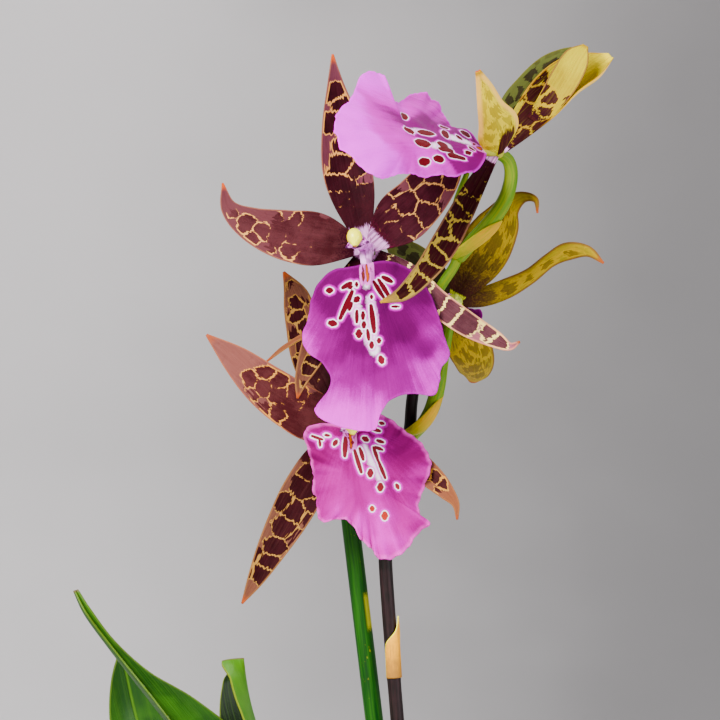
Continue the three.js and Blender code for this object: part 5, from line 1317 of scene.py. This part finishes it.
def leafMaterial(name, dark, mid, rough, coat, rim):
    material, bench, shader = newMaterial(name)
    place, x, _, edge = bench.attribute("petalPlace")
    along = bench.attribute("petalShare")[2]
    veins = bench.group(veinGroup, {"Vector": place, "Across": 1.6, "Along": 0.015})
    fine = bench.group(veinGroup, {"Vector": place, "Across": 5.5, "Along": 0.04})
    cloud = bench.noise(place, 0.05, 3.0)
    base = bench.mix(bench.ease(cloud, 0.35, 0.65), dark, mid)
    base = bench.mix(bench.ease(veins["Vein"], 0.45, 0.65) * 0.1, base, leafLook["light"])
    base = bench.mix(bench.ease(fine["Vein"], 0.52, 0.64) * 0.15, base, dark)
    rib = 1.0 - bench.ease(abs(x), 0.25, 0.9)
    base = bench.mix(rib * 0.5, base, leafLook["light"])
    base = bench.mix((1.0 - bench.ease(edge, 0.1, 0.5)) * rim, base, leafLook["edge"])
    base = bench.mix(bench.ease(along, 0.985, 0.998), base, leafLook["tip"])
    height = veins["Vein"] * 0.7 + fine["Vein"] * 0.35
    height = height - rib * 0.9
    dress(bench, shader, {"Base Color": base, "Normal": bench.bump(height, 0.5, 0.0005),
        "Roughness": rough + fine["Grain"] * 0.12, "Specular IOR Level": 0.12, "Coat Weight": coat,
        "Coat Roughness": 0.2, "Subsurface Weight": 0.06, "Subsurface Radius": (0.3, 0.9, 0.1),
        "Subsurface Scale": 0.002})
    return material


leafFront = leafMaterial("leafUpper", leafLook["dark"], leafLook["mid"], 0.42, 0.08, 0.25)
# the undersides' own green, darkened as painted shade
leafBackShaded = leafMaterial("leafUnder", leafLook["dark"], leafLook["back"], 0.5, 0.04, 0.2)
# painted-shade and painted-light copies of the leaf, for the folded leaf's inner face and its outer flap
leafShade = leafMaterial("leafShaded", leafLook["shade"], leafLook["shade"], 0.5, 0.0, 0.7)
leafFlap = leafMaterial("leafFlap", leafLook["mid"], leafLook["flap"], 0.5, 0.04, 0.8)
leafFinish = {"plain": (leafFront, leafBackShaded), "foldedShadedLit": (leafShade, leafFlap)}

bulbLook = {"green": (0.0491, 0.1298, 0.0115), "pale": (0.2169, 0.2877, 0.0075),
    "brown": (0.0871, 0.0448, 0.0136), "around": 96, "along": 60, "ribs": 11, "ribDepth": 0.045,
    "sheathRows": 30, "sheathColumns": 40}


def makeBulbFinish():
    material, bench, shader = newMaterial("bulbSkin")
    place = bench.attribute("bulbPlace")[0]
    groove = bench.attribute("bulbTone")[2]
    streak = bench.noise(bench.scaled(place, (0.5, 0.5, 0.03)), 1.0, 3.0)
    cloud = bench.noise(place, 0.09, 3.0)
    grain = bench.noise(place, 1.6, 3.0)
    base = bench.mix(bench.ease(streak, 0.35, 0.7), bulbLook["green"], bulbLook["pale"])
    # painted shade: the grooves between the ribs are darkened towards the green
    base = bench.mix(bench.ease(groove, 0.3, 1.0) * 0.45, base, bulbLook["green"])
    base = bench.mix(bench.ease(cloud, 0.6, 0.72) * 0.5, base, bulbLook["brown"])
    base = bench.mix(bench.ease(grain, 0.64, 0.74) * 0.3, base, bulbLook["brown"])
    height = streak + grain * 0.35
    dress(bench, shader, {"Base Color": base, "Normal": bench.bump(height, 0.5, 0.0006),
        "Roughness": 0.34 + grain * 0.2, "Coat Weight": 0.15, "Coat Roughness": 0.3})
    return material


bulbFinish = makeBulbFinish()

shoots = {
    "A": {
        "bulb": {"foot": (-1, 6, 88), "top": (-8, 4, 182), "wide": 17, "deep": 10},
        "leaves": [{"path": [(-8, 3, 172), (-15, -6, 215), (-26, -11, 255), (-38, -12, 289),
                    (-57.5, -12, 316.5), (-75, -10, 337.5), (-86.3, -8, 351.5), (-95.8, -6, 363.3),
                    (-103.2, -4, 373.2), (-107, -2, 380.8)],
                "width": (5, 10, 14, 17, 17, 12.5, 5.8, 3.1, 2.8, 1.5),
                "face": [(-0.4, -0.8, 0.5), (0.3, -0.7, 0.45), (0.6, -0.65, 0.4), (0.6, -0.7, 0.4),
                    (0.6, -0.7, 0.37), (0.5, -0.8, 0.3)],
                "keel": (1.1, 0.6, 0.5, 0.6, 0.75, 0.8, 0.9, 1.0, 1.0, 1.0), "roll": (0.3,)},
            # this leaf's inner face takes painted shade and its outer flap painted light
            {"path": [(-6, 0, 176), (-14, -10, 220), (-26.5, -12, 261), (-37.5, -10, 297), (-43, -8, 324.5),
                    (-48.5, -6, 342), (-50.8, -4, 352.5), (-51.6, -2, 358.8)],
                "width": (5, 9, 13, 14.5, 14.5, 11, 8, 7),
                "face": [(0.3, -0.9, 0), (0, -1, 0), (-0.4, -0.9, 0), (-0.6, -0.75, 0), (-0.7, -0.7, 0),
                    (-0.8, -0.6, 0), (-0.95, -0.3, 0), (-0.7, 0.7, 0)],
                "keel": (1.1, 0.6, 0.55, 0.65, 0.75, 0.8, 0.8, 0.8), "roll": (0.3,), "look": "foldedShadedLit"},
            {"path": [(-15, 4, 112), (-23, -3, 148), (-38, -16, 186), (-60, -32, 218), (-88, -48, 228),
                    (-112, -60, 218)], "width": (7, 9.5, 11, 10, 6.5, 0.5),
                "face": [(0.9, 0.2, 0.2), (0.7, 0.4, 0.5), (0.3, 0.2, 1)], "keel": (1.1, 0.6, 0.35, 0.3)}]},
    "B": {
        "bulb": {"foot": (-28, 21, 88), "top": (-36, 27, 170), "wide": 15, "deep": 9},
        "leaves": [{"path": [(-36, 26, 162), (-46, 32, 208), (-59, 38, 252), (-74.5, 42, 289),
                    (-84.5, 44, 316.5), (-90, 44, 335), (-93, 42, 349), (-95, 40, 358)],
                "width": (5, 10, 13, 15, 13.5, 11, 6.5, 0.5), "face": [(0.3, -0.9, 0.2), (0.1, -1, 0.1)],
                "keel": (1, 0.5, 0.3, 0.3)},
            {"path": [(-36, 29, 162), (-53, 46, 206), (-78, 66, 246), (-110, 86, 266), (-142, 100, 258),
                    (-164, 108, 234)], "width": (5, 11, 14, 13, 8.5, 0.5),
                "face": [(-0.2, -0.4, 0.9), (0.1, -0.2, 1)], "keel": (1, 0.45, 0.3, 0.25)},
            {"path": [(-40, 27, 112), (-50, 40, 146), (-62, 62, 184), (-66, 86, 214), (-66, 112, 222)],
                "width": (6, 9, 10, 7.5, 0.5), "face": [(0.5, -0.8, 0.3), (0.2, -0.4, 0.9)],
                "keel": (1, 0.5, 0.3)}]},
    "C": {
        "bulb": {"foot": (27, -16, 88), "top": (33, -20, 158), "wide": 14, "deep": 9},
        "leaves": [{"path": [(33, -19, 150), (46, -24, 198), (68, -30, 244), (100, -35, 274), (134, -36, 274),
                    (162, -34, 246)], "width": (5, 11, 14, 13.5, 9, 0.5),
                "face": [(-0.4, -0.2, 0.9), (0.1, 0, 1)], "keel": (1, 0.45, 0.3, 0.25)},
            {"path": [(32, -22, 150), (35, -42, 196), (42, -72, 236), (52, -106, 252), (62, -136, 240),
                    (70, -156, 214)], "width": (5, 10.5, 13.5, 12.5, 8, 0.5),
                "face": [(0, 0.5, 0.9), (0, 0.1, 1)], "keel": (1, 0.45, 0.3, 0.25)},
            {"path": [(34, -17, 152), (40, 4, 200), (50, 36, 244), (62, 72, 262), (72, 106, 252),
                    (80, 132, 226)], "width": (5, 10.5, 13, 12, 8, 0.5),
                "face": [(-0.2, -0.5, 0.9), (0, -0.1, 1)], "keel": (1, 0.45, 0.3, 0.25)},
            {"path": [(39, -16, 112), (49, -13, 144), (66, -8, 178), (92, -4, 200), (118, -2, 198)],
                "width": (6, 9, 10, 7, 0.5), "face": [(-0.9, 0, 0.3), (-0.3, 0, 1)], "keel": (1, 0.5, 0.3)}]}}

# turn round the bulb, reach to each side, and height as a share of the bulb
sheaths = ((0.4, 1.9, 0.42), (3.5, 1.7, 0.34), (5.2, 1.2, 0.26))
bulbProfile = ((0, 0.02, 0.14, 0.34, 0.55, 0.78, 0.94, 1), (0, 0.5, 0.86, 1, 0.95, 0.74, 0.42, 0.02))


# points round a bulb; t runs from its foot to its top, theta round it
def bulbSurface(bulb, t, theta, proud=0.0):
    foot, top = rows(bulb["foot"]), rows(bulb["top"])
    axis = top - foot
    height = np.linalg.norm(axis)
    up = axis / height
    right = unitRows(np.cross((0, 1, 0), up))
    back = np.cross(up, right)
    girth = np.interp(t, *bulbProfile)
    softer = (np.interp(t - 0.04, *bulbProfile) + np.interp(np.minimum(t + 0.04, 1), *bulbProfile)
        + girth) / 3
    girth = np.where((t > 0.06) & (t < 0.94), softer, girth)
    wave = np.abs(np.sin(theta * bulbLook["ribs"] / 2 + 0.35 * np.sin(t * 5)))
    groove = (1 - wave) ** 1.6 * np.sin(np.clip(t, 0, 1) * math.pi) ** 0.5
    part = girth * (1 - bulbLook["ribDepth"] * groove * 2)
    x, y = (part * bulb["wide"] + proud) * np.cos(theta), (part * bulb["deep"] + proud) * np.sin(theta)
    z = t * height
    return foot + x[..., None] * right + y[..., None] * back + z[..., None] * up, np.stack([x, y, z + 0 * x],
        -1), groove


def makeShoots():
    number = 80
    for key, shoot in shoots.items():
        bulb = shoot["bulb"]
        t = np.linspace(0.004, 0.998, bulbLook["along"])[:, None] + np.zeros(bulbLook["around"])[None]
        theta = np.zeros(bulbLook["along"])[:, None] + (np.arange(bulbLook["around"]) / bulbLook["around"]
            * 2 * math.pi)[None]
        grid, place, groove = bulbSurface(bulb, t, theta)
        core = ringPiece(f"shoot{key}Bulb", grid * mm, [bulbFinish],
                         {"bulbPlace": place, "bulbTone": np.stack([t, groove, groove], -1)})
        settle(core, "leaf", "shoot_" + key.lower())
        for count, spec in enumerate(shoot["leaves"]):
            number += 1
            leaf = bladePiece(f"shoot{key}Leaf{count + 1}", spec, (0, 0, 0),
                *leafFinish[spec.get("look", "plain")], leafLook, number)
            settle(leaf, "leaf")
        for count, (middle, spread, high) in enumerate(sheaths):
            rowsUp, columns = bulbLook["sheathRows"], bulbLook["sheathColumns"]
            share = np.linspace(-1, 1, columns)[None] + np.zeros(rowsUp)[:, None]
            rise = np.linspace(0, 1, rowsUp)[:, None] + np.zeros(columns)[None]
            torn = 1 - 0.30 * np.abs(share) ** 1.5 + 0.10 * softNoise(share * 6 + number, rise * 0 + count,
                5 + count)
            t = 0.09 + rise * (high - 0.06) * torn
            proud = 0.5 + 0.9 * count * 0.3 + 1.4 * rise ** 3 + 0.5 * softNoise(share * 3 + 5,
                rise * 3 + number, 21)
            sheet, place, _ = bulbSurface(bulb, t, middle + share * spread, proud)
            edge = (1 - np.abs(share)) * spread * 10
            fields = {"petalPlace": np.stack([share * 18 + number, place[..., 2],
                np.minimum(edge, (1 - rise) * 20)], -1),
                      "petalShare": np.stack([share, rise, 0 * rise], -1)}
            sheath = sheetPiece(f"shoot{key}Sheath{count + 1}", sheet[:, ::-1] * mm, 0.35 * mm,
                [huskFinish, huskFinish],
                                {name: values[:, ::-1] for name, values in fields.items()})
            settle(sheath, "leaf")
        print("shoot", key)


makeShoots()


# bark mix: a low mound with chips of bark strewn over it

mixLook = {"low": 3.3, "top": 96.0, "spacing": 6.4, "density": 60000.0, "smallest": 0.75, "largest": 1.35,
    "seed": 4, "kinds": 6, "bark": (0.0532, 0.0232, 0.0114), "barkDark": (0.0144, 0.0063, 0.004),
    "barkRed": (0.1036, 0.0367, 0.0157), "pumice": (0.4421, 0.3726, 0.2282)}


def makeBarkFinish():
    material, bench, shader = newMaterial("barkChips")
    texture = bench.add("ShaderNodeTexCoord").outputs["Object"]
    _, one, two, _ = bench.attribute("chipTone")
    layers = bench.noise(bench.scaled(texture, (300, 300, 900)), 1.0, 4.0, 0.6)
    grain = bench.noise(texture, 1400.0, 3.0)
    base = bench.mix(bench.ease(layers, 0.35, 0.7), mixLook["barkDark"], mixLook["bark"])
    base = bench.mix(bench.ease(two, 0.4, 1.0) * 0.6, base, mixLook["barkRed"])
    base = bench.mix(bench.ease(one, 0.0, 0.35) * 0.35, base, mixLook["bark"])
    base = bench.mix(bench.ease(one, 0.93, 0.95), base, mixLook["pumice"])
    height = layers + grain * 0.4
    dress(bench, shader, {"Base Color": base, "Normal": bench.bump(height, 0.8, 0.0008),
        "Roughness": 0.7 + grain * 0.25})
    return material


barkFinish = makeBarkFinish()


def buildBarkTree():
    tree, bench, source, sink = newTree(
        "GeometryNodeTree", "strewnBark",
        {"Mound": "Geometry", "Chips": "Collection", "Spacing": "Float", "Density": "Float",
            "Smallest": "Float",
         "Largest": "Float", "Seed": "Int", "Finish": "Material"}, {"Mix": "Geometry"})
    tree.is_modifier = True
    facing = bench.split(bench.wire("GeometryNodeInputNormal"))[2]
    upward = bench.wire("FunctionNodeCompare", {0: facing, 1: 0.5}, data_type="FLOAT",
        operation="GREATER_THAN")
    points = bench.wire("GeometryNodeDistributePointsOnFaces",
                        {"Mesh": source["Mound"], "Selection": upward, "Distance Min": source["Spacing"],
                         "Density Max": source["Density"], "Seed": source["Seed"]},
                         distribute_method="POISSON")
    chips = bench.wire("GeometryNodeCollectionInfo",
                       {"Collection": source["Chips"], "Separate Children": True, "Reset Children": True})
    turn = bench.wire("FunctionNodeRandomValue",
        {0: (-0.5, -0.5, 0.0), 1: (0.5, 0.5, 6.283), "Seed": source["Seed"]},
                      data_type="FLOAT_VECTOR")
    size = bench.add("FunctionNodeRandomValue", {2: source["Smallest"], 3: source["Largest"], "Seed": 7},
                     data_type="FLOAT").outputs[1]
    strewn = bench.wire("GeometryNodeInstanceOnPoints",
        {"Points": points, "Instance": chips, "Pick Instance": True,
                                                         "Rotation": turn, "Scale": size})
    tone = bench.wire("FunctionNodeRandomValue", {0: (0.0, 0.0, 0.0), 1: (1.0, 1.0, 1.0), "Seed": 23},
                      data_type="FLOAT_VECTOR")
    marked = bench.wire("GeometryNodeStoreNamedAttribute",
        {"Geometry": strewn, "Name": "chipTone", "Value": tone},
                        data_type="FLOAT_VECTOR", domain="INSTANCE")
    whole = bench.add("GeometryNodeJoinGeometry")
    bench.feed(whole.inputs[0], bench.wire("GeometryNodeRealizeInstances", {"Geometry": marked}))
    bench.feed(whole.inputs[0], source["Mound"])
    bench.feed(sink["Mix"],
        bench.wire("GeometryNodeSetMaterial", {"Geometry": whole.outputs[0], "Material": source["Finish"]}))
    return tree


potLook = {"height": 110.0, "topRadius": 58.0, "baseRadius": 45.0, "wall": 2.0, "floor": 3.0, "rimBand": 9.0,
    "rimProud": 3.0, "holes": 6, "holeRadius": 4.0, "holeCircle": 28.0, "turns": 144,
    "body": (0.0168, 0.0172, 0.0191), "light": (0.0285, 0.0288, 0.0313), "dust": (0.0861, 0.0754, 0.0591),
    "rough": 0.42}


# radii and heights in mm, turned round the upright axis
def lathe(name, profile, turns, materials):
    theta = np.arange(turns) / turns * 2 * math.pi
    r, z = rows(profile).T[..., None]
    return ringPiece(name, np.stack([r * np.cos(theta), r * np.sin(theta), z + 0 * theta], -1) * mm,
        materials, {})


def potInside(height):
    return potLook["baseRadius"] + (potLook["topRadius"]
        - potLook["baseRadius"]) * height / potLook["height"] - potLook["wall"]


def makeMix():
    random = np.random.default_rng(mixLook["seed"])
    bag = bpy.data.collections.new("barkBag")
    for kind in range(mixLook["kinds"]):
        spots = random.random((14, 3)) * 2 - 1
        spots = unitRows(spots) ** 3 * 0.4 + unitRows(spots) * 0.6
        spots = spots * rows([5.6 + 1.6 * random.random(), 4.2 + 1.0 * random.random(),
            2.2 + 0.8 * random.random()]) * mm
        chip = bpy.data.meshes.new(f"chip{kind}")
        chip.from_pydata(spots.tolist(), [], [])
        shell = bmesh.new()
        shell.from_mesh(chip)
        hull = bmesh.ops.convex_hull(shell, input=shell.verts)
        bmesh.ops.delete(shell, geom=[g for g in hull["geom_interior"] if isinstance(g, bmesh.types.BMVert)],
            context="VERTS")
        bmesh.ops.recalc_face_normals(shell, faces=shell.faces)
        shell.to_mesh(chip)
        shell.free()
        bag.objects.link(bpy.data.objects.new(f"chip{kind}", chip))
    top = mixLook["top"]
    rim = potInside(top - 3) - 0.3
    profile = [(potInside(mixLook["low"]) - 0.3, mixLook["low"])]
    profile += [(potInside(z) - 0.3, z) for z in (30, 60, 85)]
    profile += [(rim, top - 5), (rim - 2, top - 4), (rim * 0.75, top - 2), (rim * 0.5, top - 1),
        (rim * 0.25, top)]
    mound = lathe("pottingMix", profile, 72, [barkFinish])
    grow(mound, buildBarkTree(),
        {"Chips": bag, "Spacing": mixLook["spacing"] * mm, "Density": mixLook["density"],
                                  "Smallest": mixLook["smallest"], "Largest": mixLook["largest"],
                                  "Seed": mixLook["seed"],
                                  "Finish": barkFinish})
    for chip in list(bag.objects):
        bpy.data.objects.remove(chip)
    bpy.data.collections.remove(bag)
    settle(mound, "bark_mix", "potting_mix")
    print("mix:", len(mound.data.polygons), "faces")


def makePotFinish():
    material, bench, shader = newMaterial("potPlastic")
    texture = bench.add("ShaderNodeTexCoord").outputs["Object"]
    height = bench.split(texture)[2]
    cloud = bench.noise(texture, 30.0, 3.0)
    grain = bench.noise(texture, 2600.0, 2.0)
    scuff = bench.noise(bench.scaled(texture, (60, 60, 900)), 1.0, 4.0, 0.7)
    base = bench.mix(bench.ease(cloud, 0.3, 0.7), potLook["body"], potLook["light"])
    base = bench.mix(bench.ease(scuff, 0.62, 0.74) * 0.3, base, potLook["light"])
    low = 1.0 - bench.ease(height + cloud * 0.02, 0.008, 0.03)
    base = bench.mix(low * 0.5, base, potLook["dust"])
    dress(bench, shader, {"Base Color": base, "Normal": bench.bump(grain + scuff * 0.6, 0.25, 0.0002),
        "Roughness": potLook["rough"] - 0.05 + scuff * 0.2})
    return material


def makePot():
    v = potLook
    bandLow = v["height"] - v["rimBand"]
    bandRadius = v["baseRadius"] + (v["topRadius"] - v["baseRadius"]) * bandLow / v["height"]
    proud = v["rimProud"]
    rim = v["topRadius"] + proud
    profile = [(v["baseRadius"] - 6, 0), (v["baseRadius"] - 1.5, 0), (v["baseRadius"] - 0.5, 0.4),
        (v["baseRadius"], 1.5)]
    profile += [(v["baseRadius"] + (bandRadius - v["baseRadius"]) * k / 6, 1.5 + (bandLow - 1.5) * k / 6)
        for k in range(1, 6)]
    profile += [(bandRadius, bandLow - 0.6), (bandRadius + 0.3, bandLow),
        (bandRadius + proud - 0.5, bandLow + 0.3),
                (bandRadius + proud, bandLow + 1), (rim, v["height"] - 1.2), (rim - 0.3, v["height"] - 0.35),
                (rim - 1, v["height"]),
                (v["topRadius"] - v["wall"] + 0.8, v["height"]),
                (v["topRadius"] - v["wall"] + 0.2, v["height"] - 0.4)]
    profile += [(potInside(v["height"] - k), v["height"] - k) for k in (1.2, 30, 60, 90)]
    profile += [(potInside(v["floor"] + 1), v["floor"] + 1), (potInside(v["floor"]) - 1, v["floor"]),
        (6, v["floor"])]
    pot = lathe("pot", profile, v["turns"], [makePotFinish()])
    cutters = []
    for k in range(v["holes"]):
        turn = 2 * math.pi * (k + 0.5) / v["holes"]
        cutter = lathe(f"drain{k}", [(v["holeRadius"], -2), (v["holeRadius"], v["floor"] + 2)], 28, [])
        cutter.data.transform(Matrix.Translation((v["holeCircle"] * math.cos(turn) * mm,
            v["holeCircle"] * math.sin(turn) * mm, 0)))
        cutters.append(cutter)
    drill = joinPieces("drain", cutters)
    cut = pot.modifiers.new("drain", "BOOLEAN")
    cut.operation, cut.object, cut.solver = "DIFFERENCE", drill, "EXACT"
    graph = bpy.context.evaluated_depsgraph_get()
    bored = bpy.data.meshes.new_from_object(pot.evaluated_get(graph))
    pot.modifiers.remove(cut)
    pot.data = bored
    bored.name = "pot"
    bpy.data.objects.remove(drill)
    for polygon in bored.polygons:
        polygon.use_smooth = True
    bored.set_sharp_from_angle(angle=math.radians(35))
    settle(pot, "pot", "pot")
    print("pot:", len(bored.polygons), "faces")


makeMix()
makePot()


# stage, light and camera

cameraLook = {"place": (-0.013, -1.1, 0.457), "view": 0.2376, "sensor": 36.0}


stageLook = {"half": 9.0, "near": -8.0, "bend": 1.4, "radius": 0.8, "steps": 12, "top": 4.0,
    "pale": (0.74, 0.71, 0.715), "shadeGrey": (0.24, 0.23, 0.233), "rough": 0.9}


def makeStage():
    v = stageLook
    profile = [(v["near"], 0.0), (v["bend"], 0.0)]
    for step in range(1, v["steps"] + 1):
        a = math.radians(90 * step / v["steps"])
        profile.append((v["bend"] + v["radius"] * math.sin(a), v["radius"] - v["radius"] * math.cos(a)))
    profile.append((v["bend"] + v["radius"], v["top"]))
    points, faces = [], []
    for k, (y, z) in enumerate(profile):
        points += [(-v["half"], y, z), (v["half"], y, z)]
        if k:
            faces.append([2 * k - 2, 2 * k - 1, 2 * k + 1, 2 * k])
    material, bench, shader = newMaterial("paleStage")
    texture = bench.add("ShaderNodeTexCoord").outputs["Object"]
    x, y, z = bench.split(texture)
    # painted shade: the backdrop goes from pale to grey towards the right and lower down, with a soft mottle
    shade = bench.ease(x - z * 0.12 + (bench.noise(texture, 3.0, 3.0) - 0.5) * 0.35, -0.5, 0.3)
    # the painted shade on the backdrop fades out sideways, upwards and towards the floor
    shade = shade * bench.ease(abs(x), 1.5, 0.5) * bench.ease(z, 1.7, 0.9) * bench.ease(y, 1.3, 1.8)
    dress(bench, shader, {"Base Color": bench.mix(shade, v["pale"], v["shadeGrey"]), "Roughness": v["rough"]})
    # seen from behind, the sweep is clear and hides nothing
    clear = bench.add("ShaderNodeBsdfTransparent")
    behind = bench.add("ShaderNodeNewGeometry").outputs["Backfacing"]
    surface = bench.add("ShaderNodeMixShader",
        {0: behind, 1: shader.outputs["BSDF"], 2: clear.outputs["BSDF"]})
    bench.feed(material.node_tree.nodes["Material Output"].inputs["Surface"], surface.outputs["Shader"])
    makeMesh("stageSweep", rows(points), faces, [material])


lights = {
    "keyLight": {"place": (-0.9, -1.3, 1.35), "aim": (0, 0, 0.42), "size": 0.8, "energy": 95,
        "color": (1.0, 0.98, 0.95)},
    "fillLight": {"place": (1.3, -1.0, 0.7), "aim": (0, 0, 0.42), "size": 1.0, "energy": 26,
        "color": (0.95, 0.97, 1.0)},
    "backLight": {"place": (0.4, 1.1, 1.3), "aim": (0, 0, 0.45), "size": 0.6, "energy": 24,
        "color": (1.0, 1.0, 1.0)}}
worldLook = {"tone": (0.9, 0.94, 1.0, 1), "strength": 0.38}


def makeLight(name, spec):
    light = bpy.data.lights.new(name, "AREA")
    light.shape = "DISK"
    for key in ("size", "energy", "color"):
        setattr(light, key, spec[key])
    holder = makeObject(name, light)
    holder.location = spec["place"]
    holder.rotation_euler = (Vector(spec["aim"]) - Vector(spec["place"])).to_track_quat("-Z", "Y").to_euler()


def makeCamera():
    camera = bpy.data.cameras.new("camera")
    holder = makeObject("camera", camera)
    holder.location = cameraLook["place"]
    holder.rotation_euler = (math.radians(90), 0, 0)
    camera.sensor_width = cameraLook["sensor"]
    camera.lens = cameraLook["sensor"] * -cameraLook["place"][1] / cameraLook["view"]
    bpy.context.scene.camera = holder


def makeWorld():
    world = bpy.data.worlds.new("studio")
    world.use_nodes = True
    sky = world.node_tree.nodes["Background"].inputs
    sky["Color"].default_value, sky["Strength"].default_value = worldLook["tone"], worldLook["strength"]
    bpy.context.scene.world = world


makeStage()
for name, spec in lights.items():
    makeLight(name, spec)
makeWorld()
makeCamera()
